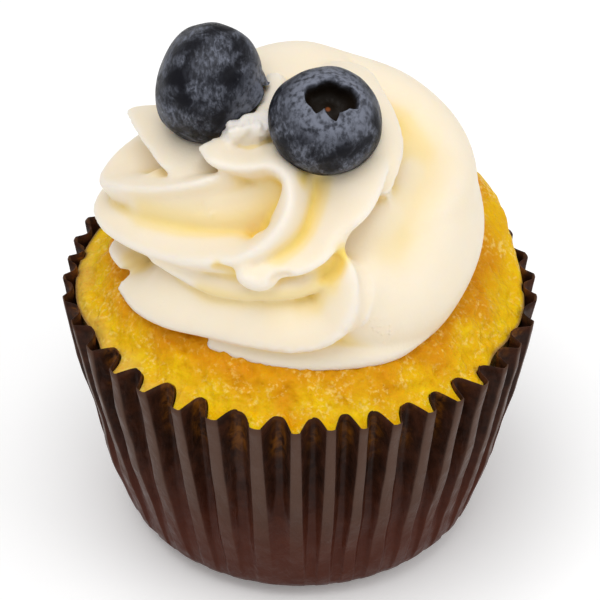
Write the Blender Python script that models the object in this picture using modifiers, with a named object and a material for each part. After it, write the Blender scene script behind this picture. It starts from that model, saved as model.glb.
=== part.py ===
"""A frosted cupcake: pleated paper case, sponge cake, piped frosting swirl and two dark berries.

Units are metres, +Z is up and the origin is the centre of the case's flat base.
Azimuths are degrees, counter-clockwise seen from above, with 0 along +X and 270 at the front.
"""

from dataclasses import dataclass
import math

import bmesh
import bpy
import numpy as np
from mathutils import Matrix, Vector

MM = 0.001
OBJECT_NAME = "cupcake"
CLEARANCE = 0.3 * MM

# Paper case
PLEATS = 40
PLEAT_PITCH = 360.0 / PLEATS
RIM_RADIUS = 34.5 * MM
RIM_HEIGHT = 38.5 * MM
RIM_TILT = 0.038
BASE_CORNER_RADIUS = 6.9 * MM
BASE_CORNER_RINGS = 3
BASE_EDGE_RADIUS = 25.9 * MM
WALL_BULGE = 0.6 * MM
PAPER_THICKNESS = 0.3 * MM
PLEAT_DEPTH = 3.6 * MM
PLEAT_DEPTH_LEVELS = ((0.0, 0.0), (1.5 * MM, 0.35 * MM), (5.4 * MM, 0.9 * MM), (RIM_HEIGHT, PLEAT_DEPTH))
SIDE_DEPTH_SHARE = 0.45
FRONT_AZIMUTH = 264.0
FRONT_FADE = (42.0, 78.0)
PLEAT_COLUMNS = (-0.20, 0.20, 0.42, 0.58)
PLEAT_OUTWARDNESS = (1.0, 1.0, 0.0, 0.0)

# Sponge cake: the dome's rows are (radius, height) in millimetres, where it is low and where it has swollen
CAKE_FLOOR = PAPER_THICKNESS + 1.3 * CLEARANCE
CAKE_FLOOR_INSET = 1.5 * MM
CAKE_FOOT_HEIGHT = CAKE_FLOOR + 1.4 * MM
CAKE_EDGE_HEIGHT = 36.4 * MM
CAKE_DOME = ((32.4, 39.4), (27.6, 42.0), (22.0, 44.4), (12.0, 46.2))
CAKE_SWOLLEN = ((32.2, 43.8), (31.9, 47.4), (26.0, 50.4), (12.0, 49.0))
SWELL_FROM = (-8.0, 34.0)
SWELL_TO = (85.0, 130.0)
SWELL_OVERHANG = 1.3 * MM
CAKE_TOP = 46.8 * MM
CAKE_FILL = 1.8 * MM
CAKE_WALL_GAP = 0.8 * MM
CUTTER_LIFT = 1.2 * CLEARANCE
CUTTER_SPREAD = (1.15, 1.1, 1.1)
CUTTER_FLOOR = 30.0 * MM

# Frosting: the heart's rings are (radius, height) in millimetres
HEART_PROFILE = ((19.0, 40.0), (19.5, 46.0), (18.0, 52.0), (15.5, 58.0), (13.4, 62.0), (11.9, 65.4),
                 (6.5, 67.6))
HEART_SIDES = 20
HEART_OFFSET = (1.0, 2.0, 0.0)
FOLD_SIDES = 12
FOLD_RINGS_PER_STOP = 2
FOLD_END_SHARE = 0.12
SECTION_ARC = math.radians(115.0)

# Berries: a crown's rows are (share of its radius, height in steps, how much the star shapes it)
BERRY_SIDES = 30
BERRY_BODY_RINGS = 9
STAR_POINTS = 5
STAR_DEPTH = 0.16
CROWN_RADIUS = 0.56
CROWN_ROWS = ((0.94, 0.4, 0.0), (0.88, 1.0, 0.5), (0.80, 0.8, 1.0), (0.74, -1.6, 1.0), (0.45, -3.4, 0.5))
CROWN_COLLAR_ROWS = 2
CROWN_FOOT = 0.02
CROWN_STEP = 0.05

# Scrap of curdled cream between the berries
SCRAP_CENTRE = (-6.4, -3.2, 67.2)
SCRAP_SPREAD = (2.2, 1.4, 1.0)
SCRAP_LUMPS = 6
SCRAP_RADIUS = 1.5 * MM
SCRAP_SIZES = (0.7, 1.1)
SCRAP_SEED = 7


@dataclass(frozen=True)
class Fold:
    """One piped ridge: an oval section carried along its crest.

    Each stop is (azimuth, radius, height) of the crest in degrees and millimetres. The oval
    reaches from the crest back into the heart; lean is the crest's angle above the horizontal
    at the start, middle and end, and turn swings the crest about the vertical.
    """

    name: str
    stops: tuple
    lean: tuple
    reach: float
    thickness: float
    turn: tuple = (0.0, 0.0)
    ends: tuple = (0.35, 0.35)
    pinch: float = 0.0


@dataclass(frozen=True)
class Berry:
    """One oblate berry, in millimetres, with a star-shaped crown at the end that its axis points to."""

    name: str
    centre: tuple
    axis: tuple
    radius: float
    half_height: float
    crown_rise: float


FOLDS = (
    Fold("base_strip", ((238.5, 25.4, 43.4), (252, 25.4, 43.0), (268, 25.6, 42.6), (284, 26.0, 42.7),
                        (300, 26.8, 43.0), (314, 26.4, 43.6)),
         (-5, -10, 0), 9.0, 3.4, ends=(1.0, 0.5)),
    Fold("lower_coil", ((262, 19.0, 47.0), (280, 22.8, 46.0), (300, 26.2, 45.4), (316, 26.8, 46.6),
                        (332, 26.6, 48.4), (348, 26.5, 49.8), (10, 26.4, 50.6), (45, 26.4, 51.0),
                        (85, 26.0, 51.0), (130, 25.5, 51.0), (165, 24.0, 50.0)),
         (-10, -5, 0, 0, 0, 0), 12.0, 10.6, ends=(0.6, 0.5)),
    Fold("upper_coil", ((262, 14.0, 54.0), (282, 16.6, 54.8), (303, 19.4, 56.3), (325, 21.6, 58.0),
                        (345, 23.6, 58.9), (5, 24.5, 59.6), (24, 23.9, 61.6), (43, 21.6, 64.6),
                        (69, 18.8, 66.8), (90, 17.4, 68.8), (112, 17.0, 68.6), (140, 17.0, 66.5),
                        (165, 14.0, 65.5)),
         (30, 30, 30, 35, 45, 50, 45, 40), 12.0, 8.4, ends=(0.7, 0.5)),
    Fold("front_petal", ((198, 27.5, 43.7), (212, 27.6, 44.3), (226, 27.3, 45.3), (240, 26.0, 45.8),
                         (255, 26.0, 46.1), (270, 26.5, 46.4), (280, 27.2, 48.6), (286, 26.6, 52.2),
                         (288, 24.0, 56.6), (287, 20.6, 60.0)),
         (-20, -28, -28, -22, 0, 15), 11.0, 4.0, turn=(0, 0, 0, 0, 20), pinch=0.2),
    Fold("narrow_band", ((215, 25.6, 53.3), (226, 24.5, 52.7), (238, 24.0, 52.2), (248, 23.4, 52.3),
                         (259, 22.9, 52.8), (270, 22.8, 53.6), (279, 22.7, 55.5), (284, 21.7, 57.8)),
         (-10, -10, 0), 5.0, 2.2, ends=(0.5, 0.8)),
    Fold("left_scrap", ((172, 25.0, 45.6), (186, 27.6, 46.4), (198, 27.0, 47.2)),
         (-5, -5, -5), 7.0, 1.9),
    Fold("hairpin", ((125, 26.0, 50.0), (150, 28.0, 50.0), (176, 29.8, 50.6), (190, 28.8, 52.0),
                     (204, 27.2, 53.6), (220, 25.4, 54.9), (236, 24.6, 57.0), (250, 23.4, 59.2),
                     (260, 20.6, 62.0), (265, 17.2, 65.0), (261, 13.8, 67.0), (250, 12.6, 67.2),
                     (234, 14.0, 66.4), (218, 16.0, 66.4), (204, 15.8, 66.8)),
         (-5, -5, -5, -5, 0, 22, 50, 22, 0), 10.0, 3.2, pinch=0.2),
    Fold("inner_slope", ((188, 25.4, 56.5), (199, 22.5, 58.5), (210, 19.6, 59.5), (221, 16.9, 60.4),
                         (231, 14.2, 61.1), (240, 11.6, 62.1), (244, 7.8, 62.3)),
         (10, 30, 42, 35), 8.0, 5.4, ends=(0.4, 0.8)),
    Fold("outer_curl", ((334, 12.2, 68.0), (324, 15.2, 66.8), (305, 18.6, 63.8), (289, 20.9, 60.9),
                        (279, 22.6, 58.8), (270, 23.4, 57.5), (257, 23.8, 57.0), (249, 23.8, 57.2)),
         (10, 5, 5, 0, 0), 9.0, 2.3, turn=(20, 10, 0, 0), ends=(0.5, 0.6), pinch=0.2),
    Fold("curl_tip", ((250, 23.8, 58.0), (251, 24.9, 56.7), (256, 25.1, 55.9), (262.5, 23.9, 56.7)),
         (0, 0, 0), 2.4, 1.3, ends=(0.9, 0.8)),
    Fold("left_fin", ((95, 22.0, 57.0), (140, 26.0, 55.5), (165, 28.4, 55.2), (176, 28.9, 55.6),
                      (189, 26.5, 58.4), (199, 23.6, 60.5), (208, 20.7, 62.2), (216, 17.8, 63.6),
                      (222, 14.5, 64.7), (224, 10.7, 65.4)),
         (0, 5, 10, 20, 25, 30), 10.0, 4.4, pinch=0.4),
    Fold("high_fin", ((80, 19.5, 58.5), (110, 22.0, 57.4), (140, 25.2, 57.6), (159.5, 26.6, 62.2),
                      (170, 24.2, 63.0), (182, 21.8, 62.8), (196, 20.0, 62.4), (208, 18.6, 62.0),
                      (220, 15.5, 61.5)),
         (10, 5, 5, 5, 5, 5), 11.0, 3.9, pinch=0.6),
    Fold("right_curl", ((100, 10.0, 67.5), (64, 13.0, 68.8), (46, 13.6, 69.0), (19, 12.6, 69.0),
                        (356, 13.6, 68.3), (341, 15.4, 66.6), (327, 17.0, 64.8), (318, 18.0, 62.0)),
         (20, 10, 0, -5, -10), 8.4, 3.6, ends=(0.5, 0.9), pinch=0.2),
)

BERRIES = (
    Berry("berry_left", centre=(-12.9, 3.0, 71.0), axis=(0.92, -0.24, -0.31), radius=8.5, half_height=7.2,
          crown_rise=0.16),
    Berry("berry_right", centre=(3.55, -6.5, 71.4), axis=(0.08, -0.42, 0.90), radius=7.9, half_height=6.5,
          crown_rise=0.05),
)


def clear_scene():
    """Remove every object so that the script starts from nothing."""
    for item in list(bpy.data.objects):
        bpy.data.objects.remove(item, do_unlink=True)


def make_collection(name):
    """Return a new collection linked to the scene."""
    collection = bpy.data.collections.new(name)
    bpy.context.scene.collection.children.link(collection)
    return collection


def make_material(name, colour, roughness):
    """Return a Principled material of one colour."""
    material = bpy.data.materials.new(name)
    material.use_nodes = True
    shader = material.node_tree.nodes["Principled BSDF"]
    shader.inputs["Base Color"].default_value = (*colour, 1.0)
    shader.inputs["Roughness"].default_value = roughness
    shader.inputs["Metallic"].default_value = 0.0
    return material


def mesh_object(name, points, faces, collection, material=None):
    """Return a new object made from points and faces."""
    mesh = bpy.data.meshes.new(name)
    mesh.from_pydata([tuple(point) for point in points], [], faces)
    mesh.update()
    item = bpy.data.objects.new(name, mesh)
    collection.objects.link(item)
    if material is not None:
        mesh.materials.append(material)
    return item


def polar(azimuth, radius, height):
    """Return the point at an azimuth in degrees, a radius and a height."""
    angle = np.radians(azimuth)
    level = np.broadcast_to(height, np.broadcast_shapes(np.shape(radius), np.shape(angle), np.shape(height)))
    return np.stack([radius * np.cos(angle), radius * np.sin(angle), level], axis=-1)


def band_faces(rings, columns):
    """Return the quads between successive closed rings, wound to face outwards going up."""
    faces = []
    for ring in range(rings - 1):
        for column in range(columns):
            following = (column + 1) % columns
            low, high = ring * columns, (ring + 1) * columns
            faces.append((low + column, low + following, high + following, high + column))
    return faces


def fan_faces(ring_start, columns, hub, upward):
    """Return the triangles from one ring to a hub point."""
    faces = []
    for column in range(columns):
        here = ring_start + column
        following = ring_start + (column + 1) % columns
        corners = (here, following) if upward else (following, here)
        faces.append((*corners, hub))
    return faces


def capped_loft(name, rings, hubs, collection, material=None):
    """Return a closed body through successive rings, each end filled by a fan about its hub point."""
    count, columns = rings.shape[:2]
    points = np.vstack([rings.reshape(-1, 3), *hubs])
    faces = band_faces(count, columns)
    faces += fan_faces(0, columns, count * columns, upward=False)
    faces += fan_faces((count - 1) * columns, columns, count * columns + 1, upward=True)
    return mesh_object(name, points, faces, collection, material)


def closed_loft(name, rings, collection, material=None):
    """Return a closed body through successive rings, with its hubs at the middles of its end rings."""
    return capped_loft(name, rings, (rings[0].mean(axis=0), rings[-1].mean(axis=0)), collection, material)


def spline(values, samples):
    """Return a smooth curve through the values, sampled evenly by chord length."""
    gaps = np.linalg.norm(np.diff(values[:, :3], axis=0), axis=1)
    knots = np.concatenate([[0.0], np.cumsum(gaps)])
    slopes = np.gradient(values, knots, axis=0)
    places = np.linspace(0.0, knots[-1], samples)
    index = np.clip(np.searchsorted(knots, places, side="right") - 1, 0, len(knots) - 2)
    span = (knots[index + 1] - knots[index])[:, None]
    part = (places[:, None] - knots[index][:, None]) / span
    blend = part**2 * (3.0 - 2.0 * part)
    steer = part * (1.0 - part) * span * ((1.0 - part) * slopes[index] - part * slopes[index + 1])
    return (1.0 - blend) * values[index] + blend * values[index + 1] + steer


def unit(vectors):
    """Return the vectors at length one."""
    return vectors / np.linalg.norm(vectors, axis=-1, keepdims=True)


def fold_rings(fold, samples, sides):
    """Return the section rings of a fold: the front part of an oval behind each point of the crest."""
    stops = np.array(fold.stops, dtype=float)
    azimuth = np.degrees(np.unwrap(np.radians(stops[:, 0])))
    crest = polar(azimuth, stops[:, 1] * MM, stops[:, 2] * MM)
    track = spline(np.column_stack([crest, azimuth * MM]), samples)
    crest, azimuth = track[:, :3], track[:, 3] / MM
    place = np.linspace(0.0, 1.0, samples)
    lean = np.radians(np.interp(place, np.linspace(0.0, 1.0, len(fold.lean)), fold.lean))
    bearing = np.radians(azimuth + np.interp(place, np.linspace(0.0, 1.0, len(fold.turn)), fold.turn))
    outward = np.column_stack([np.cos(lean) * np.cos(bearing), np.cos(lean) * np.sin(bearing), np.sin(lean)])
    along = unit(np.gradient(crest, axis=0))
    outward = unit(outward - (outward * along).sum(axis=1, keepdims=True) * along)
    across = np.cross(along, outward)
    full = (0.0, FOLD_END_SHARE, 1.0 - FOLD_END_SHARE, 1.0)
    swell = np.interp(place, full, (fold.ends[0], 1.0, 1.0, fold.ends[1]))[:, None, None]
    turnings = np.linspace(-SECTION_ARC, SECTION_ARC, sides)[None, :, None]
    reach = fold.reach * MM * swell
    depth = reach * (np.cos(turnings) - 1.0)
    width = fold.thickness * MM * swell * np.sin(turnings) * np.abs(np.sin(turnings / 2)) ** fold.pinch
    return crest[:, None, :] + depth * outward[:, None, :] + width * across[:, None, :]


def wall_profile():
    """Return (radius, height) down the case's outer crests, from the base's flat edge to the rim."""
    flare = math.atan((RIM_RADIUS - BASE_EDGE_RADIUS) / RIM_HEIGHT)
    tangent = BASE_CORNER_RADIUS / math.tan((math.pi / 2 + flare) / 2)
    flat_radius = BASE_EDGE_RADIUS - tangent
    turns = np.linspace(-math.pi / 2, -flare, BASE_CORNER_RINGS)
    corner = [(flat_radius + BASE_CORNER_RADIUS * math.cos(turn), BASE_CORNER_RADIUS * (1 + math.sin(turn)))
              for turn in turns]
    middle = (0.5 * (corner[-1][0] + RIM_RADIUS) + WALL_BULGE, 0.5 * (corner[-1][1] + RIM_HEIGHT))
    return np.array(corner + [middle, (RIM_RADIUS, RIM_HEIGHT)])


def ease(values, low, high):
    """Return 0 below low and 1 above high, with a smooth step between them."""
    share = np.clip((values - low) / (high - low), 0.0, 1.0)
    return share * share * (3.0 - 2.0 * share)


def pleat_depths(heights, azimuth):
    """Return how far the folds stand in from the outer crests: less at the sides and the back."""
    levels, depths = zip(*PLEAT_DEPTH_LEVELS)
    away = np.abs((azimuth - FRONT_AZIMUTH + 180.0) % 360.0 - 180.0)
    share = 1.0 - (1.0 - SIDE_DEPTH_SHARE) * ease(away, *FRONT_FADE)
    return np.interp(heights, levels, depths) * share


def tilt_rim(points):
    """Lower the right side of the case in proportion to height, as its rim leans."""
    points[..., 2] -= RIM_TILT * points[..., 0] * points[..., 2] / RIM_HEIGHT
    return points


def build_case(collection, material):
    """Make the pleated paper case as an open sheet with a thickness."""
    azimuth = (np.arange(PLEATS)[:, None] + np.array(PLEAT_COLUMNS)).ravel() * PLEAT_PITCH
    outwardness = np.tile(PLEAT_OUTWARDNESS, PLEATS)
    profile = wall_profile()
    depth = pleat_depths(profile[:, 1:], azimuth)
    radius = profile[:, :1] - depth * (1.0 - outwardness)
    rings = tilt_rim(polar(azimuth[None, :], radius, profile[:, 1:]))
    count, columns = rings.shape[:2]
    points = np.vstack([rings.reshape(-1, 3), (0.0, 0.0, 0.0)])
    faces = band_faces(count, columns) + fan_faces(0, columns, count * columns, upward=False)
    case = mesh_object("paper_case", points, faces, collection, material)
    wall = case.modifiers.new("paper", "SOLIDIFY")
    wall.thickness = PAPER_THICKNESS
    wall.offset = -1.0
    wall.use_even_offset = True
    return case


def dome_rings(azimuth):
    """Return the dome's rings, which stay inside the case's rim except where the cake has swollen over it."""
    turned = (azimuth + 180.0) % 360.0 - 180.0
    swell = ease(turned, *SWELL_FROM) * (1.0 - ease(turned, *SWELL_TO))
    low, high = (np.array(rows)[:, None, :] * MM for rows in (CAKE_DOME, CAKE_SWOLLEN))
    dome = low + (high - low) * swell[None, :, None]
    inside = RIM_RADIUS - pleat_depths(RIM_HEIGHT, azimuth) - PAPER_THICKNESS - CAKE_WALL_GAP
    reach = np.minimum(dome[..., 0], inside + SWELL_OVERHANG * swell)
    return polar(azimuth, reach, dome[..., 1])


def cake_rings():
    """Return the cake's rings from its floor to the dome, with a wall that fills the pleats a little."""
    azimuth = np.arange(2 * PLEATS) * PLEAT_PITCH / 2
    bulge = np.tile((1.0, 0.0), PLEATS)
    wall = wall_profile()
    heights = np.array([*wall[1:-1, 1], CAKE_EDGE_HEIGHT])[:, None]
    depth = pleat_depths(heights, azimuth)
    inner = np.interp(heights, wall[:, 1], wall[:, 0]) - depth - PAPER_THICKNESS - CAKE_WALL_GAP
    fill = CAKE_FILL * bulge * depth / PLEAT_DEPTH
    floor = polar(azimuth, wall[0, 0] - CAKE_FLOOR_INSET, CAKE_FLOOR)
    side = polar(azimuth, inner + fill, np.maximum(heights, CAKE_FOOT_HEIGHT))
    return tilt_rim(np.vstack([floor[None], side, dome_rings(azimuth)]))


def build_cake(collection, material):
    """Make the sponge cake as one solid under its dome."""
    hubs = ((0.0, 0.0, CAKE_FLOOR), (0.0, 0.0, CAKE_TOP))
    return capped_loft("sponge_cake", cake_rings(), hubs, collection, material)


def heart_rings():
    """Return the rings of the frosting's heart, the mound that the folds are piped round."""
    azimuth = np.arange(HEART_SIDES) * 360.0 / HEART_SIDES
    profile = np.array(HEART_PROFILE) * MM
    return polar(azimuth[None, :], profile[:, :1], profile[:, 1:]) + np.array(HEART_OFFSET) * MM


def berry_ring(width, height, turns):
    """Return one ring about the berry's own axis; the width may differ from turn to turn."""
    return np.column_stack([width * np.cos(turns), width * np.sin(turns), np.full(turns.shape, height)])


def berry_rings(berry, crown_rows=CROWN_ROWS, grow=0.0):
    """Return the rings of a berry from its far end to the last of its crown's rows.

    The body is an oblate spheroid up to the crown's radius. The crown's rows stand on its shoulder.
    """
    turns = np.linspace(0.0, 2 * np.pi, BERRY_SIDES, endpoint=False)
    radius, half_height = berry.radius * MM + grow, berry.half_height * MM + grow
    last = math.pi - math.asin(CROWN_RADIUS)
    rings = [berry_ring(math.sin(angle) * radius, -math.cos(angle) * half_height, turns)
             for angle in np.linspace(0.0, last, BERRY_BODY_RINGS + 1)[1:]]
    shoulder = math.sqrt(1.0 - CROWN_RADIUS ** 2) * half_height + CROWN_FOOT * radius
    for share, steps, starred in crown_rows:
        star = 1.0 + starred * STAR_DEPTH * np.cos(STAR_POINTS * turns)
        step = berry.crown_rise if steps > 0.0 else CROWN_STEP
        width = radius * CROWN_RADIUS * share * star
        rings.append(berry_ring(width, shoulder + steps * step * radius, turns))
    facing = Vector(berry.axis).to_track_quat("Z", "Y").to_matrix()
    return np.array(rings) @ np.array(facing).T + np.array(berry.centre) * MM


def scrap_lumps(collection):
    """Make the lumps of curdled cream as small balls scattered about the scrap's centre."""
    draw = np.random.default_rng(SCRAP_SEED)
    for lump in range(SCRAP_LUMPS):
        place = (np.array(SCRAP_CENTRE) + np.array(SCRAP_SPREAD) * draw.uniform(-1.0, 1.0, 3)) * MM
        radius = SCRAP_RADIUS * draw.uniform(*SCRAP_SIZES)
        mesh = bpy.data.meshes.new(f"lump_{lump}")
        ball = bmesh.new()
        bmesh.ops.create_icosphere(ball, subdivisions=1, radius=radius, matrix=Matrix.Translation(place))
        ball.to_mesh(mesh)
        ball.free()
        collection.objects.link(bpy.data.objects.new(mesh.name, mesh))


def apply_modifiers(item):
    """Give an object the mesh that its modifiers make, and remove them."""
    graph = bpy.context.evaluated_depsgraph_get()
    mesh = bpy.data.meshes.new_from_object(item.evaluated_get(graph))
    item.modifiers.clear()
    item.data = mesh


def face_shells(shape):
    """Return the faces of a mesh in groups, one group for each shell that isn't joined to the others."""
    unseen = set(shape.faces)
    shells = []
    while unseen:
        stack = [unseen.pop()]
        shell = []
        while stack:
            face = stack.pop()
            shell.append(face)
            touching = {other for edge in face.edges for other in edge.link_faces} & unseen
            unseen -= touching
            stack.extend(touching)
        shells.append(shell)
    return shells


def keep_largest_shell(item):
    """Delete every loose shell of an object's mesh except the one with the most faces."""
    shape = bmesh.new()
    shape.from_mesh(item.data)
    shells = sorted(face_shells(shape), key=len)
    loose = [face for shell in shells[:-1] for face in shell]
    bmesh.ops.delete(shape, geom=loose, context="FACES")
    shape.to_mesh(item.data)
    shape.free()


def cut(item, cutter):
    """Take a cutter's body out of an object."""
    modifier = item.modifiers.new(f"cut_{cutter.name}", "BOOLEAN")
    modifier.operation = "DIFFERENCE"
    modifier.object = cutter
    cutter.hide_render = True
    cutter.display_type = "WIRE"


def cake_cutter(collection):
    """Make the cutter that leaves the frosting's underside a clearance above the cake's dome."""
    rings = cake_rings()[BASE_CORNER_RINGS:]
    rings[..., 2] += CUTTER_LIFT
    rings[0, :, 2] = CUTTER_FLOOR
    for ring, spread in zip(rings, CUTTER_SPREAD):
        ring[:, :2] *= spread
    hubs = ((0.0, 0.0, CUTTER_FLOOR), (0.0, 0.0, CAKE_TOP + CUTTER_LIFT))
    return capped_loft("cake_cutter", rings, hubs, collection)


def join(item, pieces):
    """Fuse a collection's objects into an object, and remove them."""
    union = item.modifiers.new("join", "BOOLEAN")
    union.operation = "UNION"
    union.operand_type = "COLLECTION"
    union.collection = pieces
    apply_modifiers(item)
    for piece in list(pieces.objects):
        bpy.data.objects.remove(piece, do_unlink=True)
    keep_largest_shell(item)


def build_frosting(collection, cutters, material):
    """Join the heart, the folds and the scrap into one solid, fitted over the cake and round the berries."""
    pieces = make_collection("frosting_pieces")
    frosting = closed_loft("frosting", heart_rings(), collection, material)
    for fold in FOLDS:
        rings = fold_rings(fold, FOLD_RINGS_PER_STOP * len(fold.stops), FOLD_SIDES)
        closed_loft(fold.name, rings, pieces)
    scrap_lumps(pieces)
    join(frosting, pieces)
    cut(frosting, cake_cutter(cutters))
    for berry in BERRIES:
        seat = berry_rings(berry, CROWN_ROWS[:CROWN_COLLAR_ROWS], grow=CLEARANCE)
        cut(frosting, closed_loft(f"{berry.name}_cutter", seat, cutters))
    apply_modifiers(frosting)
    keep_largest_shell(frosting)


def main():
    """Build the cupcake."""
    clear_scene()
    collection = make_collection(OBJECT_NAME)
    cutters = make_collection("cutters")
    build_case(collection, make_material("case_paper", (0.045, 0.028, 0.022), 0.45))
    build_cake(collection, make_material("yellow_sponge", (0.72, 0.42, 0.02), 0.6))
    build_frosting(collection, cutters, make_material("cream_frosting", (0.87, 0.80, 0.66), 0.5))
    skin = make_material("berry_skin", (0.03, 0.04, 0.07), 0.5)
    for berry in BERRIES:
        closed_loft(berry.name, berry_rings(berry), collection, skin)


main()
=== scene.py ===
"""The looks of a frosted cupcake: pleated paper case, moist sponge, folded cream and two berries.

Lengths are metres, or millimetres where a name ends in _mm. +Z is up and -Y is the front. Azimuths
are degrees, counter-clockwise seen from above, with 0 along +X and 270 at the front.
"""

from dataclasses import dataclass, field
from enum import Enum
import logging
import math

import bpy
import numpy as np
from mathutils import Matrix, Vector


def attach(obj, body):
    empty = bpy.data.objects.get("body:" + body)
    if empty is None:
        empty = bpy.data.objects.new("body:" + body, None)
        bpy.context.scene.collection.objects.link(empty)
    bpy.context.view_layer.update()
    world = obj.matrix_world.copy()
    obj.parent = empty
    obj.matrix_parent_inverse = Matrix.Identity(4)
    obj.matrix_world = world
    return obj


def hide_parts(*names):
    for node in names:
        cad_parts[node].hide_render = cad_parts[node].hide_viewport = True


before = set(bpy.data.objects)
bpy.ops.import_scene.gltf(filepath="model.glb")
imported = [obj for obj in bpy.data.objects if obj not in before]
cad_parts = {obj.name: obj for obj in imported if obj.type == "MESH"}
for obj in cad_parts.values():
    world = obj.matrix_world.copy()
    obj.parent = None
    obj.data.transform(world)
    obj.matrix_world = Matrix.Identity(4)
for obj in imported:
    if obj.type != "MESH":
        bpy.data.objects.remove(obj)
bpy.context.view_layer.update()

LOG = logging.getLogger("cupcake")
MM = 0.001
BODY = "root"
BELL_END = 40.0
TINY = 1e-12

# A few numbers together, and rows of two, three and four of them.
Triple = tuple[float, float, float]
Colour = Triple
Span = tuple[float, float]
Table = tuple[Span, ...]
Route = tuple[Triple, ...]
Rings = tuple[tuple[float, float, float, float], ...]


class Slot(Enum):
    """The record's material slots."""

    PAPER = "case_paper"
    SPONGE = "yellow_sponge"
    CREAM = "cream_frosting"
    SKIN = "berry_skin"


class Rule(Enum):
    """The Math node's ways to make one value of two."""

    SUM = "ADD"
    PRODUCT = "MULTIPLY"
    LARGER = "MAXIMUM"


# ---- Arrays and shapes ----


def polar(azimuth: np.ndarray, radius: np.ndarray, height: np.ndarray) -> np.ndarray:
    """Return points from cylindrical places: x = r cos a, y = r sin a, z = h.

    Args:
        azimuth: angles in degrees.
        radius: distances from the upright axis, of a shape that broadcasts with azimuth.
        height: heights, of a shape that broadcasts with the other two.

    Returns:
        An array of points with a last axis of three.
    """
    turn, reach, level = np.broadcast_arrays(np.radians(azimuth), radius, height)
    return np.stack([reach * np.cos(turn), reach * np.sin(turn), level], axis=-1)


def unit(vectors: np.ndarray) -> np.ndarray:
    """Return the vectors at length one."""
    return vectors / np.maximum(np.linalg.norm(vectors, axis=-1, keepdims=True), TINY)


def ease(values: np.ndarray, low: float, high: float) -> np.ndarray:
    """Return 0 below low and 1 above high, with a smooth step 3t^2 - 2t^3 between them.

    Args:
        values: the values to grade.
        low: where the step starts.
        high: where it ends, which may be less than low for a falling step.

    Returns:
        The graded values.
    """
    share = np.clip((values - low) / (high - low), 0.0, 1.0)
    return share * share * (3.0 - 2.0 * share)


def spline(values: np.ndarray, places: np.ndarray) -> np.ndarray:
    """Return a smooth curve through values, a cubic with central slopes.

    Args:
        values: rows of at least three columns, the first three a place in space.
        places: where to read it, as shares of its length by chord.

    Returns:
        A row for each place.
    """
    gaps = np.linalg.norm(np.diff(values[:, :3], axis=0), axis=1)
    knots = np.concatenate([[0.0], np.cumsum(gaps)])
    slopes = np.gradient(values, knots, axis=0)
    reached = places * knots[-1]
    index = np.clip(np.searchsorted(knots, reached, side="right") - 1, 0, len(knots) - 2)
    span = (knots[index + 1] - knots[index])[:, None]
    part = (reached[:, None] - knots[index][:, None]) / span
    blend = part**2 * (3.0 - 2.0 * part)
    steer = part * (1.0 - part) * span * ((1.0 - part) * slopes[index] - part * slopes[index + 1])
    return (1.0 - blend) * values[index] + blend * values[index + 1] + steer


def blending(rows: int, places: np.ndarray) -> np.ndarray:
    """Return the shares of each of so many evenly spaced rows in a smooth curve through them.

    Args:
        rows: how many rows the curve passes through.
        places: where to read it, from 0 at the first row to rows - 1 at the last.

    Returns:
        (places, rows) shares, to be multiplied by the rows.
    """
    even = np.zeros((rows, 3))
    even[:, 0] = np.arange(rows)
    return spline(np.hstack([even, np.eye(rows)]), places / (rows - 1.0))[:, 3:]


def grid_normals(rings: np.ndarray) -> np.ndarray:
    """Return the outward normals of closed rings: the way round them crossed with the way up."""
    around = np.roll(rings, -1, axis=1) - np.roll(rings, 1, axis=1)
    return unit(np.cross(around, np.gradient(rings, axis=0)))


def apart(azimuth: np.ndarray, middle: float) -> np.ndarray:
    """Return how many degrees azimuths lie from a middle one, either way round."""
    return np.abs((azimuth - middle + 180.0) % 360.0 - 180.0)


def bell(square: np.ndarray) -> np.ndarray:
    """Return exp(-s) of squared distances s, counted in squared widths and cut off at BELL_END."""
    return np.exp(-np.minimum(square, BELL_END))


def routed(stops: Route) -> tuple[np.ndarray, np.ndarray]:
    """Return the points of stops given as (azimuth, radius, height).

    Args:
        stops: the stops, in degrees and millimetres.

    Returns:
        The azimuths without jumps of a full turn between neighbours, and the points in metres.
    """
    azimuth, radius, height = np.array(stops, dtype=float).T
    azimuth = np.degrees(np.unwrap(np.radians(azimuth)))
    return azimuth, polar(azimuth, radius * MM, height * MM)


def smooth_profile(table: Table, count: int) -> tuple[np.ndarray, np.ndarray]:
    """Return a smooth curve through a table of (radius, height).

    Args:
        table: the rows that the curve passes through.
        count: how many places to read, evenly spaced along the table's chords.

    Returns:
        The radii and the heights.
    """
    rows = np.array([(radius, 0.0, height) for radius, height in table])
    curve = spline(rows, np.linspace(0.0, 1.0, count))
    return curve[:, 0], curve[:, 2]


@dataclass(frozen=True)
class Waves:
    """A smooth random field: plane cosine waves of random heading, length and phase, added up.

    Attributes:
        seed: the random draw's seed.
        length_mm: the middle wavelength.
        count: how many waves are added.
        paces: the least and the most waves of one of them in a middle wavelength.
    """

    seed: int
    length_mm: float
    count: int = 24
    paces: Span = (0.7, 1.4)

    def at(self, points: np.ndarray) -> np.ndarray:
        """Return the field, of about unit variance.

        Args:
            points: places in metres, in an array of any shape ending in 3.

        Returns:
            A value for each place.
        """
        draw = np.random.default_rng(self.seed)
        pace = 2.0 * math.pi / (self.length_mm * MM) * draw.uniform(*self.paces, (self.count, 1))
        heading = unit(draw.normal(size=(self.count, 3))) * pace
        phase = draw.uniform(0.0, 2.0 * math.pi, self.count)
        return np.cos(points @ heading.T + phase).sum(axis=-1) * math.sqrt(2.0 / self.count)


Layers = tuple[tuple[Waves, float], ...]


def layered(layers: Layers, points: np.ndarray) -> np.ndarray:
    """Return layers of waves added up at points in metres, each times its own height."""
    return sum(waves.at(points) * height for waves, height in layers)


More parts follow.
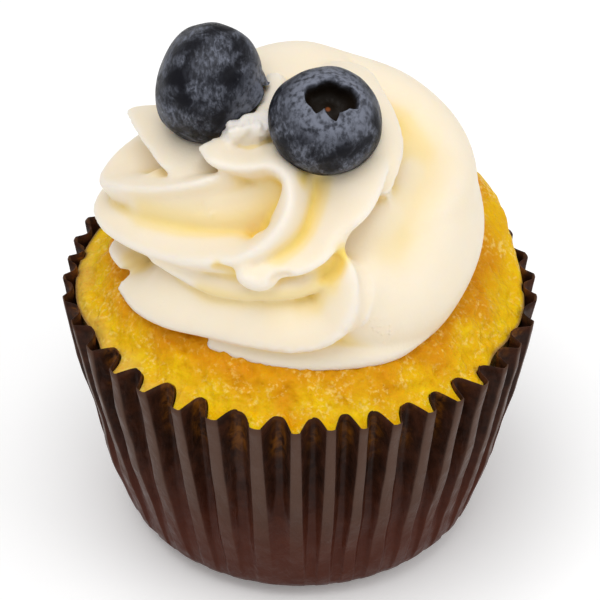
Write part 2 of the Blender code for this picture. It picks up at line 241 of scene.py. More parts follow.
@dataclass
class Surface:
    """Points and faces on their way to becoming a mesh, with the values painted on the points.

    Attributes:
        points: an array of places, (n, 3).
        faces: the corner numbers of each face.
        paint: a value for each point, by the attribute's name.
    """

    points: np.ndarray
    faces: list[tuple[int, ...]]
    paint: dict[str, np.ndarray] = field(default_factory=dict)

    @classmethod
    def from_rings(cls, rings: np.ndarray, low: np.ndarray, high: np.ndarray | None = None) -> "Surface":
        """Join closed rings that rise one above the other, counter-clockwise seen from above.

        Args:
            rings: (rows, columns, 3) places; neighbours in a row or a column share a quad.
            low: the point that closes the lowest ring.
            high: the point that closes the highest ring, or None where that stays open.

        Returns:
            The surface, its faces turned outwards.
        """
        rows, columns = rings.shape[:2]
        count = rows * columns
        here = np.arange(count).reshape(rows, columns)
        after = np.roll(here, -1, axis=1)
        quads = np.stack([here[:-1], after[:-1], after[1:], here[1:]], axis=-1)
        faces = quads.reshape(-1, 4).tolist()
        faces += np.stack([after[0], here[0], np.full(columns, count)], axis=-1).tolist()
        points = [rings.reshape(-1, 3), low[None]]
        if high is not None:
            faces += np.stack([here[-1], after[-1], np.full(columns, count + 1)], axis=-1).tolist()
            points.append(high[None])
        return cls(np.vstack(points), faces)

    @classmethod
    def closed(cls, rings: np.ndarray) -> "Surface":
        """Join closed rings, as from_rings does, with both ends closed at the middles of their rings."""
        return cls.from_rings(rings, rings[0].mean(axis=0), rings[-1].mean(axis=0))

    @classmethod
    def merged(cls, parts: list["Surface"]) -> "Surface":
        """Return several unpainted surfaces as one.

        Args:
            parts: the surfaces.

        Returns:
            Their points and faces in one surface, in the same order.
        """
        faces: list[tuple[int, ...]] = []
        shift = 0
        for part in parts:
            faces += [tuple(corner + shift for corner in face) for face in part.faces]
            shift += len(part.points)
        return cls(np.vstack([part.points for part in parts]), faces)

    def mesh(self, name: str) -> bpy.types.Mesh:
        """Return a smooth-shaded mesh of the surface, with its painted values as attributes.

        Args:
            name: the mesh's name.

        Returns:
            The new mesh.
        """
        mesh = bpy.data.meshes.new(name)
        mesh.from_pydata(self.points.tolist(), [], self.faces)
        mesh.update()
        mesh.shade_smooth()
        for title, values in self.paint.items():
            layer = mesh.attributes.new(title, "FLOAT", "POINT")
            layer.data.foreach_set("value", np.asarray(values, dtype=np.float32))
        return mesh

    def piece(self, name: str, slot: Slot, material: bpy.types.Material, node: str) -> bpy.types.Object:
        """Put the surface in the scene in the place of a CAD node.

        Args:
            name: the piece's name.
            slot: the record's slot that its finish belongs to; not used.
            material: its material.
            node: the CAD node that it stands for.

        Returns:
            The new object, which lies at the origin with its place in its mesh.
        """
        item = bpy.data.objects.new(name, self.mesh(name))
        bpy.context.scene.collection.objects.link(item)
        item.data.materials.append(material)
        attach(item, BODY)
        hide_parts(node)
        return item


@dataclass(frozen=True)
class Net:
    """The neighbours of a mesh's points, for averaging over them.

    Attributes:
        edges: the two ends of every edge, (n, 2).
        count: how many points there are.
    """

    edges: np.ndarray
    count: int

    @classmethod
    def of(cls, mesh: bpy.types.Mesh) -> "Net":
        """Read the net of a mesh's edges.

        Args:
            mesh: the mesh.

        Returns:
            Its net.
        """
        edges = np.empty(2 * len(mesh.edges), dtype=np.int64)
        mesh.edges.foreach_get("vertices", edges)
        return cls(edges.reshape(-1, 2), len(mesh.vertices))

    def relax(self, values: np.ndarray, times: int, share: float = 0.5) -> np.ndarray:
        """Move every row of values part of the way to the average of its neighbours, again and again.

        Args:
            values: (n, k) values.
            times: how often.
            share: the part of the way that each step goes.

        Returns:
            The smoothed values.
        """
        ends = np.concatenate([self.edges[:, 0], self.edges[:, 1]])
        others = np.concatenate([self.edges[:, 1], self.edges[:, 0]])
        degree = np.maximum(np.bincount(ends, minlength=self.count), 1)[:, None]
        for _ in range(times):
            near = [np.bincount(ends, column[others], self.count) for column in values.T]
            values = values + share * (np.stack(near, axis=-1) / degree - values)
        return values


# ---- Shader nodes ----


class Shader:
    """A material under construction: one Principled shader and the nodes that feed it.

    Attributes:
        material: the material, which goes on a piece once its sockets are fed.
        tree: its node tree.
        surface: its Principled shader.
        place: the socket with the place on the piece.
    """

    def __init__(self, name: str) -> None:
        """Start a material with the given name."""
        self.material = bpy.data.materials.new(name)
        self.material.use_nodes = True
        self.tree = self.material.node_tree
        self.surface = self.tree.nodes["Principled BSDF"]
        self.place = self.tree.nodes.new("ShaderNodeTexCoord").outputs["Object"]

    def constants(self, **values: float | tuple[float, ...]) -> None:
        """Set sockets of the Principled shader; an underscore in a name stands for a space."""
        for name, value in values.items():
            self.surface.inputs[name.replace("_", " ")].default_value = value

    def feed(self, socket: str, source: bpy.types.NodeSocket) -> None:
        """Link a source into one of the Principled shader's sockets."""
        self.tree.links.new(source, self.surface.inputs[socket])

    def painted(self, name: str) -> bpy.types.NodeSocket:
        """Read a value painted on the piece.

        Args:
            name: the name that it was painted under.

        Returns:
            Its value.
        """
        node = self.tree.nodes.new("ShaderNodeAttribute")
        node.attribute_name = name
        return node.outputs["Fac"]

    def stretched(self, scale: Triple, turn: Triple = (0.0, 0.0, 0.0)) -> bpy.types.NodeSocket:
        """Return the place on the piece, stretched.

        Args:
            scale: what each axis is multiplied by, less than 1 for longer features.
            turn: angles about the three axes, in radians.

        Returns:
            The new place.
        """
        node = self.tree.nodes.new("ShaderNodeMapping")
        node.inputs["Scale"].default_value = scale
        node.inputs["Rotation"].default_value = turn
        self.tree.links.new(self.place, node.inputs["Vector"])
        return node.outputs["Vector"]

    def noise(self, size_mm: float, detail: float = 3.0, rough: float = 0.55, warp: float = 0.0,
              place: bpy.types.NodeSocket | None = None) -> bpy.types.NodeSocket:
        """Return fractal noise.

        Args:
            size_mm: the size of its largest features.
            detail: how many octaves.
            rough: how strong the finer octaves are.
            warp: how much the pattern is distorted.
            place: where to read it, or the piece's own coordinates.

        Returns:
            Its value, about 0.5 on average.
        """
        node = self.tree.nodes.new("ShaderNodeTexNoise")
        node.inputs["Scale"].default_value = 1.0 / (size_mm * MM)
        node.inputs["Detail"].default_value = detail
        node.inputs["Roughness"].default_value = rough
        node.inputs["Distortion"].default_value = warp
        self.tree.links.new(place or self.place, node.inputs["Vector"])
        return node.outputs["Fac"]

    def cells(self, size_mm: float, smooth: float = 0.4) -> bpy.types.NodeSocket:
        """Return the distance to the nearest of scattered points, rounded: small in each cell's middle.

        Args:
            size_mm: the cells' size.
            smooth: how much the edges between them are rounded.

        Returns:
            The distance as a share of the size.
        """
        node = self.tree.nodes.new("ShaderNodeTexVoronoi")
        node.feature = "SMOOTH_F1"
        node.inputs["Scale"].default_value = 1.0 / (size_mm * MM)
        node.inputs["Smoothness"].default_value = smooth
        self.tree.links.new(self.place, node.inputs["Vector"])
        return node.outputs["Distance"]

    def graded(self, source: bpy.types.NodeSocket, low: float, high: float, bottom: float = 0.0,
               top: float = 1.0) -> bpy.types.NodeSocket:
        """Return a smooth step of a value.

        Args:
            source: the value.
            low: where the step starts.
            high: where it ends.
            bottom: what it gives at the start.
            top: what it gives at the end.

        Returns:
            The stepped value.
        """
        node = self.tree.nodes.new("ShaderNodeMapRange")
        node.interpolation_type = "SMOOTHSTEP"
        for name, value in (("From Min", low), ("From Max", high), ("To Min", bottom), ("To Max", top)):
            node.inputs[name].default_value = value
        self.tree.links.new(source, node.inputs["Value"])
        return node.outputs["Result"]

    def both(self, first: bpy.types.NodeSocket, second: bpy.types.NodeSocket | float,
             rule: Rule) -> bpy.types.NodeSocket:
        """Return one value made of two.

        Args:
            first: a value.
            second: another value, or a number.
            rule: how the two are combined.

        Returns:
            The combined value.
        """
        node = self.tree.nodes.new("ShaderNodeMath")
        node.operation = rule.value
        self.tree.links.new(first, node.inputs[0])
        if isinstance(second, float):
            node.inputs[1].default_value = second
        else:
            self.tree.links.new(second, node.inputs[1])
        return node.outputs["Value"]

    def blend(self, share: bpy.types.NodeSocket, first: Colour | bpy.types.NodeSocket,
              second: Colour | bpy.types.NodeSocket) -> bpy.types.NodeSocket:
        """Return a colour between two.

        Args:
            share: 0 gives the first and 1 the second.
            first: a colour or a colour socket.
            second: the same.

        Returns:
            The mixed colour.
        """
        node = self.tree.nodes.new("ShaderNodeMix")
        node.data_type = "RGBA"
        self.tree.links.new(share, node.inputs["Factor"])
        colours = [socket for socket in node.inputs if socket.type == "RGBA"]
        for socket, value in zip(colours, (first, second)):
            if isinstance(value, tuple):
                socket.default_value = (*value, 1.0)
            else:
                self.tree.links.new(value, socket)
        return next(socket for socket in node.outputs if socket.type == "RGBA")

    def relief(self, height: bpy.types.NodeSocket, depth_mm: float,
               under: bpy.types.NodeSocket | None = None) -> bpy.types.NodeSocket:
        """Return a normal bumped by a height.

        Args:
            height: the height, of which 1 is depth_mm.
            depth_mm: the relief's depth.
            under: the normal that it adds to.

        Returns:
            The bumped normal.
        """
        node = self.tree.nodes.new("ShaderNodeBump")
        node.inputs["Distance"].default_value = depth_mm * MM
        self.tree.links.new(height, node.inputs["Height"])
        if under is not None:
            self.tree.links.new(under, node.inputs["Normal"])
        return node.outputs["Normal"]


@dataclass(frozen=True)
class CreamFinish:
    """Satin buttercream: pale lips, painted golden shade in hollows, fine grain and a few small bubbles."""

    cream: Colour = (0.90, 0.79, 0.61)
    lip: Colour = (0.89, 0.81, 0.70)
    # Painted shade: the golden colours that the hollows get, for the light that bounces and scatters there.
    yellow: Colour = (0.90, 0.735, 0.40)
    hollow_shade: Colour = (0.89, 0.66, 0.15)
    curd: Colour = (0.93, 0.87, 0.80)

    def material(self) -> bpy.types.Material:
        """Make the material, which reads the painted hollows' shade and the lip, curd and bubbly values.

        Returns:
            The material.
        """
        shader = Shader("satin_cream")
        shader.constants(Subsurface_Weight=0.30, Subsurface_Radius=(1.0, 0.78, 0.42),
                         Subsurface_Scale=0.0018, IOR=1.42)
        patches = shader.graded(shader.noise(size_mm=6.0, detail=2.0), 0.35, 0.7, top=0.25)
        base = shader.blend(patches, self.cream, self.lip)
        base = shader.blend(shader.painted("lip"), base, self.lip)
        # Painted shade: the hollows turn golden for the light that bounces and scatters in them, deeper in
        # the deepest.
        base = shader.blend(shader.graded(shader.painted("hollow_shade"), 0.0, 0.34), base, self.yellow)
        base = shader.blend(shader.graded(shader.painted("hollow_shade"), 0.26, 0.95), base, self.hollow_shade)
        base = shader.blend(shader.painted("curd"), base, self.curd)
        shader.feed("Base Color", base)
        sheen = shader.graded(shader.noise(size_mm=1.5), 0.3, 0.7, bottom=0.38, top=0.54)
        shader.feed("Roughness", sheen)
        grain = shader.relief(shader.noise(size_mm=0.5, detail=2.0), depth_mm=0.03)
        spots = shader.graded(shader.noise(size_mm=5.0, detail=1.0), 0.66, 0.76, top=0.5)
        spots = shader.both(shader.painted("bubbly"), spots, Rule.LARGER)
        bubbles = shader.graded(shader.cells(size_mm=0.75), 0.05, 0.36, bottom=1.0, top=0.0)
        bubbles = shader.both(bubbles, spots, Rule.PRODUCT)
        shader.feed("Normal", shader.relief(bubbles, depth_mm=0.07, under=grain))
        return shader.material


@dataclass(frozen=True)
class SpongeFinish:
    """Moist yellow crumb: lemon at the rim, orange by the cream, painted glints on glossy places, dry places.
    """

    golden: Colour = (0.77, 0.43, 0.0)
    lemon: Colour = (0.84, 0.545, 0.0)
    orange: Colour = (0.66, 0.24, 0.0)
    dry: Colour = (0.66, 0.42, 0.14)
    # Dark brown of the bare sides: partly the real browned cake, partly painted shade in the empty pleats.
    crust_and_shade: Colour = (0.36, 0.20, 0.06)
    # Painted highlight: the pale colour of the glints on the glossy crumb.
    glint: Colour = (0.96, 0.74, 0.22)
    glint_share: float = 0.5
    speck: Colour = (0.34, 0.15, 0.01)

    def material(self) -> bpy.types.Material:
        """Make the material, which reads the painted orange_inward, edge and wall values.

        Returns:
            The material.
        """
        shader = Shader("moist_sponge")
        shader.constants(Subsurface_Weight=0.3, Subsurface_Radius=(1.0, 0.5, 0.12),
                         Subsurface_Scale=0.0015, IOR=1.36, Specular_IOR_Level=0.2)
        blotches = shader.graded(shader.noise(size_mm=4.0, detail=4.0, rough=0.6), 0.38, 0.68)
        base = shader.blend(blotches, self.golden, self.lemon)
        # More orange towards the cream, in the cleft and over the swollen side.
        base = shader.blend(shader.painted("orange_inward"), base, self.orange)
        base = shader.blend(shader.painted("edge"), base, self.dry)
        patches = shader.graded(shader.noise(size_mm=2.8, detail=2.0), 0.42, 0.62)
        grains = shader.graded(shader.noise(size_mm=0.6, detail=2.0, rough=0.5), 0.48, 0.68)
        # Glossy places, where pale glints are also painted into the colour as highlights.
        wet_and_glint = shader.both(patches, grains, Rule.PRODUCT)
        base = shader.blend(shader.both(wet_and_glint, self.glint_share, Rule.PRODUCT), base, self.glint)
        flecks = shader.graded(shader.noise(size_mm=0.7, detail=1.0), 0.80, 0.84)
        base = shader.blend(flecks, base, self.speck)
        # The bare sides get the dark brown: partly real browning, partly painted shade in the empty pleats.
        base = shader.blend(shader.painted("wall"), base, self.crust_and_shade)
        shader.feed("Base Color", base)
        shader.feed("Roughness", shader.graded(wet_and_glint, 0.0, 0.7, bottom=0.50, top=0.14))
        crumb = shader.relief(shader.noise(size_mm=0.85), depth_mm=0.19)
        pores = shader.graded(shader.cells(size_mm=0.9, smooth=0.2), 0.1, 0.5)
        shader.feed("Normal", shader.relief(pores, depth_mm=0.07, under=crumb))
        return shader.material


@dataclass(frozen=True)
class PaperFinish:
    """Satin greaseproof paper, dark brown, reddish low down; painted ridge reflection, greasy glow in folds.
    """

    brown: Colour = (0.054, 0.018, 0.009)
    # Painted reflection: the outer ridges' lighter, greyer colour, as where they mirror the bright
    # surroundings.
    ridge: Colour = (0.090, 0.048, 0.033)
    red_brown: Colour = (0.074, 0.015, 0.006)
    # Amber of the greasy patches: partly a real stain, partly a painted glow of light through the greased
    # paper.
    amber: Colour = (0.22, 0.075, 0.008)
    shadow: Colour = (0.020, 0.008, 0.005)

    def material(self) -> bpy.types.Material:
        """Make the material, which reads the painted ridge reflection, low and greasy glow values.

        Returns:
            The material.
        """
        shader = Shader("greaseproof_paper")
        shader.constants(IOR=1.48, Specular_IOR_Level=0.08)
        mottle = shader.graded(shader.noise(size_mm=3.0, detail=5.0, rough=0.65), 0.35, 0.7)
        base = shader.blend(mottle, self.shadow, self.brown)
        base = shader.blend(shader.painted("low"), base, self.red_brown)
        # Painted reflection: the outer ridges get the lighter, greyer colour of the bright surroundings they
        # mirror.
        base = shader.blend(shader.painted("ridge"), base, self.ridge)
        # Greasy patches near the fold tops: a real stain, with the glow of light through the paper painted in
        # amber.
        blots = shader.graded(shader.noise(size_mm=1.6, detail=4.0, rough=0.6, warp=0.6), 0.36, 0.72)
        oily_glow = shader.both(blots, shader.painted("oily_glow"), Rule.PRODUCT)
        shader.feed("Base Color", shader.blend(oily_glow, base, self.amber))
        sheen = shader.graded(shader.noise(size_mm=2.0, detail=4.0), 0.3, 0.7, bottom=0.30, top=0.50)
        shader.feed("Roughness", sheen)
        fibres = shader.relief(shader.noise(size_mm=0.35), depth_mm=0.03)
        upright = shader.stretched((1.0, 1.0, 0.45))
        creases = shader.noise(size_mm=2.4, rough=0.5, warp=0.4, place=upright)
        shader.feed("Normal", shader.relief(creases, depth_mm=0.35, under=fibres))
        return shader.material


@dataclass(frozen=True)
class SkinFinish:
    """Berry skin: near black, with a grey-blue bloom that is rubbed off in patches and strokes."""

    skin: Colour = (0.006, 0.006, 0.009)
    bloom: Colour = (0.178, 0.192, 0.240)
    smudge: Colour = (0.024, 0.025, 0.031)
    pith: Colour = (0.012, 0.008, 0.005)
    scar: Colour = (0.22, 0.06, 0.015)

    def material(self) -> bpy.types.Material:
        """Make the material, which reads the painted dusty, rubbed, collar, cup and scar values.

        Returns:
            The material.
        """
        shader = Shader("bloomed_skin")
        shader.constants(IOR=1.42, Specular_IOR_Level=0.12)
        patches = shader.graded(shader.noise(size_mm=4.0, detail=4.0, rough=0.6, warp=0.5), 0.42, 0.64)
        dusty = shader.noise(size_mm=1.8, detail=4.0, rough=0.65, warp=0.6)
        dusty = shader.graded(dusty, 0.30, 0.60, bottom=0.25)
        dusty = shader.both(shader.painted("dusty"), dusty, Rule.PRODUCT)
        ragged = shader.noise(size_mm=1.4, detail=4.0, rough=0.6)
        ragged = shader.both(shader.painted("rubbed"), ragged, Rule.SUM)
        bare = shader.graded(ragged, 0.62, 1.25, bottom=1.0, top=0.12)
        patches = shader.both(shader.both(patches, dusty, Rule.LARGER), bare, Rule.PRODUCT)
        brushed = shader.stretched((1.0, 0.3, 0.55), turn=(0.5, 0.3, 0.9))
        strokes = shader.noise(size_mm=0.45, detail=4.0, rough=0.6, warp=0.3, place=brushed)
        strokes = shader.graded(strokes, 0.40, 0.68, bottom=0.12, top=0.85)
        dust = shader.noise(size_mm=1.1, detail=5.0, rough=0.7, warp=0.8)
        dust = shader.graded(dust, 0.52, 0.70, top=0.9)
        marks = shader.both(strokes, dust, Rule.LARGER)
        base = shader.blend(patches, self.skin, self.smudge)
        base = shader.blend(shader.both(patches, marks, Rule.PRODUCT), base, self.bloom)
        worn = shader.graded(shader.noise(size_mm=0.8, detail=4.0), 0.34, 0.62, bottom=0.15)
        base = shader.blend(shader.both(shader.painted("collar"), worn, Rule.PRODUCT), base, self.bloom)
        base = shader.blend(shader.painted("cup"), base, self.pith)
        base = shader.blend(shader.painted("scar"), base, self.scar)
        shader.feed("Base Color", base)
        shader.feed("Roughness", shader.graded(strokes, 0.0, 1.0, bottom=0.34, top=0.60))
        lumps = shader.relief(shader.noise(size_mm=2.2), depth_mm=0.10)
        grain = shader.noise(size_mm=0.5, detail=4.0, rough=0.6)
        shader.feed("Normal", shader.relief(grain, depth_mm=0.03, under=lumps))
        return shader.material


# ---- Paper case ----


@dataclass(frozen=True)
class PaperCase:
    """The pleated case: flat ridges with crisp edges outside, rounded folds in between.

    The ridges that show in front stand at shown_ridges, each with its shown_folds after it; the
    hidden ones behind are spread evenly. A pair of azimuths, heights, levels or stands is where a
    change starts and where it is complete; a level is a height as a share of the rim's, and a stand
    is how far out a place lies, from 0 in a fold to 1 on a ridge.

    Attributes:
        rim_tilt: how much lower the rim's right end is, as a share of the rim's radius.
        bulge_mm: how far the wall bows out halfway up.
        ridge_shares: the flat ridge's share of half a pleat's width, at the base and at the rim.
        fold_shares: the share of the fold's flat bottom, in the same way.
        width_power: below 1 these shares change sooner on the way up.
        flank_skew: below 1 the flank sinks sooner.
        ridge_bow: how far the ridge's edges sink at the rim, as a share of the depth.
        fold_jitter: how unevenly the folds lie at the base, in degrees.
        depth_levels_mm: the pleats' depth in front, as (height, depth).
        depth_range: the least and the most that a pleat's own depth is multiplied by.
        side_depth_share: the share of the depth that is left at the sides and the back.
        ridge_steps, flank_steps, fold_steps: where the columns stand on each of the three.
        crushed_azimuth: the middle of the folds that are pressed flat low down.
        dents: waves that dent the wall, with their heights in millimetres.
        rim_lift_mm: how far a pleat's rim may stand up or down.
    """

    pleats: int = 40
    shown_ridges: tuple[float, ...] = (156.5, 165.2, 173.0, 181.2, 190.0, 199.8, 210.5, 220.8, 230.2, 240.5,
                                       249.2, 259.5, 269.0, 277.2, 284.8, 292.8, 302.2, 310.2, 319.0, 327.8,
                                       336.2, 346.0, 356.8, 364.8, 373.5, 384.0)
    shown_folds: tuple[float, ...] = (160.5, 168.5, 176.5, 184.8, 193.6, 202.6, 212.9, 223.2, 232.9, 243.2,
                                      253.8, 264.5, 273.2, 281.6, 289.2, 298.2, 307.0, 315.2, 324.2, 332.6,
                                      341.6, 351.0, 361.6, 370.2, 379.4, 388.4)
    rim_radius_mm: float = 34.5
    rim_height_mm: float = 38.5
    rim_tilt: float = 0.038
    base_edge_radius_mm: float = 25.9
    corner_radius_mm: float = 6.9
    bulge_mm: float = 0.6
    paper_mm: float = 0.15
    corner_rows: int = 6
    wall_rows: int = 24
    ridge_shares: Span = (0.50, 0.26)
    fold_shares: Span = (0.30, 0.10)
    flank_skew: float = 0.85
    ridge_bow: float = 0.06
    width_power: float = 0.7
    fold_jitter: float = 0.6
    depth_levels_mm: Table = ((0.0, 0.0), (1.5, 0.08), (8.0, 0.5), (16.0, 1.3), (26.0, 2.4), (38.5, 3.6))
    depth_range: Span = (0.88, 1.10)
    side_depth_share: float = 0.45
    deep_from: Span = (186.0, 222.0)
    deep_to: Span = (322.0, 356.0)
    ridge_steps: tuple[float, ...] = (0.0, 0.5, 0.86, 1.0)
    flank_steps: tuple[float, ...] = (0.05, 0.12, 0.21, 0.32, 0.44, 0.57, 0.70, 0.84, 1.0)
    fold_steps: tuple[float, ...] = (0.5, 1.0)
    crushed_azimuth: float = 264.0
    crushed_fade: Span = (6.0, 3.0)
    crushed_heights_mm: Span = (24.0, 17.0)
    crushed_share: float = 0.8
    dents: Layers = ((Waves(3, 12.0), 0.13), (Waves(4, 4.0), 0.022))
    dent_levels: Span = (0.03, 0.3)
    rim_lift_mm: float = 0.15
    low_levels: Span = (0.75, 0.25)
    low_share: float = 0.8
    oily_glow_stand: Span = (0.6, 0.1)
    oily_glow_levels: Span = (0.72, 0.90)
    oily_glow_waves: Waves = Waves(8, 7.0)
    oily_glow_range: Span = (-1.4, 0.9)
    reflection_stand: Span = (0.85, 1.0)
    reflection_levels: Span = (0.1, 0.8)
    seed: int = 11

    def profile(self) -> np.ndarray:
        """Work out the outer ridges' profile, from the base's flat edge to the rim.

        An arc turns the base up into the wall, which is straight but for a bow 4 b s (1 - s), b
        being the bulge and s the share of the way up.

        Returns:
            Rows of (radius, height) in millimetres.
        """
        flare = math.atan((self.rim_radius_mm - self.base_edge_radius_mm) / self.rim_height_mm)
        flat = self.base_edge_radius_mm - self.corner_radius_mm / math.tan((math.pi / 2 + flare) / 2)
        turns = np.linspace(-math.pi / 2, -flare, self.corner_rows)
        corner = np.column_stack([flat + self.corner_radius_mm * np.cos(turns),
                                  self.corner_radius_mm * (1.0 + np.sin(turns))])
        share = np.linspace(0.0, 1.0, self.wall_rows + 1)[1:, None]
        rim = np.array([self.rim_radius_mm, self.rim_height_mm])
        wall = corner[-1] + (rim - corner[-1]) * share
        wall[:, :1] += 4.0 * self.bulge_mm * share * (1.0 - share)
        return np.vstack([corner, wall])

    def columns(self, level: float) -> tuple[np.ndarray, np.ndarray]:
        """Lay the wall's columns round the case at one height.

        Each half pleat runs from a ridge's middle over its crisp edge and down the flank to the
        fold's flat bottom. At the share u of its width the flank has sunk by a smooth step of u^skew
        at the base and by sin(pi u / 2) at the rim, where the folds are round.

        Args:
            level: the height as a share of the rim's.

        Returns:
            The columns' azimuths and how far out they stand, from 0 in a fold to 1 on a ridge.
        """
        draw = np.random.default_rng(self.seed)
        hidden = np.linspace(self.shown_ridges[-1], self.shown_ridges[0] + 360.0,
                             self.pleats - len(self.shown_ridges) + 2)[1:-1]
        ridges = np.append(self.shown_ridges, hidden)
        middles = 0.5 * (ridges + np.append(ridges[1:], ridges[0] + 360.0))
        folds = np.append(self.shown_folds, middles[len(self.shown_folds):])
        jitter = draw.uniform(-self.fold_jitter, self.fold_jitter, self.pleats)
        folds = middles + (folds - middles) * level + jitter * (1.0 - level)
        before = np.roll(folds, 1)
        before[0] -= 360.0
        widths = (self.ridge_shares, self.fold_shares)
        ridge, fold = (low + (top - low) * level ** self.width_power for low, top in widths)
        flank = np.array(self.flank_steps)
        steps = np.concatenate([np.array(self.ridge_steps) * ridge, ridge + (1.0 - fold - ridge) * flank,
                                1.0 - fold + fold * np.array(self.fold_steps)])
        bow = self.ridge_bow * level
        sunk = ease(flank ** self.flank_skew, 0.0, 1.0)
        sunk = sunk + (np.sin(0.5 * math.pi * flank) - sunk) * level
        out = np.concatenate([1.0 - bow * np.array(self.ridge_steps) ** 2, (1.0 - bow) * (1.0 - sunk),
                              np.zeros(len(self.fold_steps))])
        left = ridges[:, None] + (before - ridges)[:, None] * steps[None, :0:-1]
        right = ridges[:, None] + (folds - ridges)[:, None] * steps[None, :-1]
        azimuth = np.concatenate([left, right], axis=1).ravel()
        outward = np.tile(np.concatenate([out[:0:-1], out[:-1]]), self.pleats)
        return azimuth, outward

    def fold_depth_mm(self, azimuth: np.ndarray, height_mm: np.ndarray) -> np.ndarray:
        """Return the pleats' depth: full in front, less at the sides and the back.

        Args:
            azimuth: azimuths in degrees.
            height_mm: heights, of a shape that broadcasts with azimuth.

        Returns:
            How far the folds lie behind the ridges, in millimetres.
        """
        turned = azimuth % 360.0
        front = ease(turned, *self.deep_from) * ease(turned, *self.deep_to[::-1])
        share = self.side_depth_share + (1.0 - self.side_depth_share) * front
        return np.interp(height_mm, *zip(*self.depth_levels_mm)) * share

    def tilted(self, points: np.ndarray) -> np.ndarray:
        """Lower the right side in proportion to height, as the case leans.

        Args:
            points: places in metres, in an array of any shape ending in 3.

        Returns:
            The lowered places.
        """
        lowered = points.copy()
        lowered[..., 2] *= 1.0 - self.rim_tilt * points[..., 0] / (self.rim_height_mm * MM)
        return lowered

    def wall_mm(self, radius_mm: np.ndarray, height_mm: np.ndarray) -> tuple[np.ndarray, ...]:
        """Lay the wall's columns at rows of given ridge radii and heights.

        The radius is the ridge's less the pleat's depth times how far in the column stands, uneven
        from pleat to pleat, with dents by layers of waves. Each pleat's rim stands a little up or
        down, by the level squared.

        Args:
            radius_mm: the ridges' radius in each row.
            height_mm: each row's height.

        Returns:
            The (rows, columns) azimuths, radii and heights in degrees and millimetres, and how far
            out each point stands.
        """
        level = np.clip(height_mm / self.rim_height_mm, 0.0, 1.0)
        laid = [self.columns(value) for value in level]
        azimuth, outward = (np.array(values) for values in zip(*laid))
        draw = np.random.default_rng(self.seed + 1)
        uneven = draw.uniform(*self.depth_range, self.pleats)
        half = outward.shape[1] // self.pleats // 2
        uneven = np.stack([np.repeat(np.roll(uneven, 1)[:, None], half, axis=1),
                           np.repeat(uneven[:, None], half, axis=1)], axis=1).ravel()
        height = np.broadcast_to(height_mm[:, None], azimuth.shape)
        crushed = ease(apart(azimuth, self.crushed_azimuth), *self.crushed_fade)
        crushed = crushed * ease(height, *self.crushed_heights_mm)
        depth = self.fold_depth_mm(azimuth, height) * uneven * (1.0 - self.crushed_share * crushed)
        radius = radius_mm[:, None] - depth * (1.0 - outward)
        place = polar(azimuth, radius * MM, height * MM)
        radius = radius + layered(self.dents, place) * ease(level, *self.dent_levels)[:, None]
        lift = draw.uniform(-self.rim_lift_mm, self.rim_lift_mm, self.pleats)
        lift = np.repeat(lift, azimuth.shape[1] // self.pleats)
        return azimuth, radius, height + level[:, None] ** 2 * lift, outward

    def surface(self) -> Surface:
        """Make the wall and the base, with their painted ridge reflection, low and greasy glow values.

        Returns:
            The surface.
        """
        profile = self.profile()
        azimuth, radius, height, outward = self.wall_mm(profile[:, 0], profile[:, 1])
        rings = self.tilted(polar(azimuth, radius * MM, height * MM))
        surface = Surface.from_rings(rings, np.zeros(3))
        level = profile[:, 1:] / self.rim_height_mm
        low = np.broadcast_to(ease(level, *self.low_levels), outward.shape) * self.low_share
        # Greasy patches near the fold tops, partly a painted glow of light through the paper.
        patches = ease(self.oily_glow_waves.at(rings), *self.oily_glow_range)
        oily_glow = ease(outward, *self.oily_glow_stand) * ease(level, *self.oily_glow_levels) * patches
        # Painted reflection on the outer ridges, from a little way up to near the rim.
        ridge = ease(outward, *self.reflection_stand) * ease(level, *self.reflection_levels)
        for name, values in (("low", low), ("oily_glow", oily_glow), ("ridge", ridge)):
            surface.paint[name] = np.append(values.ravel(), 0.0)
        return surface

    def build(self) -> bpy.types.Object:
        """Make the case, its paper given its thickness by a live Solidify.

        Returns:
            The piece.
        """
        piece = self.surface().piece("pleated_case", Slot.PAPER, PaperFinish().material(), "paper_case")
        sheet = piece.modifiers.new("paper", "SOLIDIFY")
        sheet.thickness = self.paper_mm * MM
        sheet.offset = -1.0
        return piece


# ---- Sponge cake ----


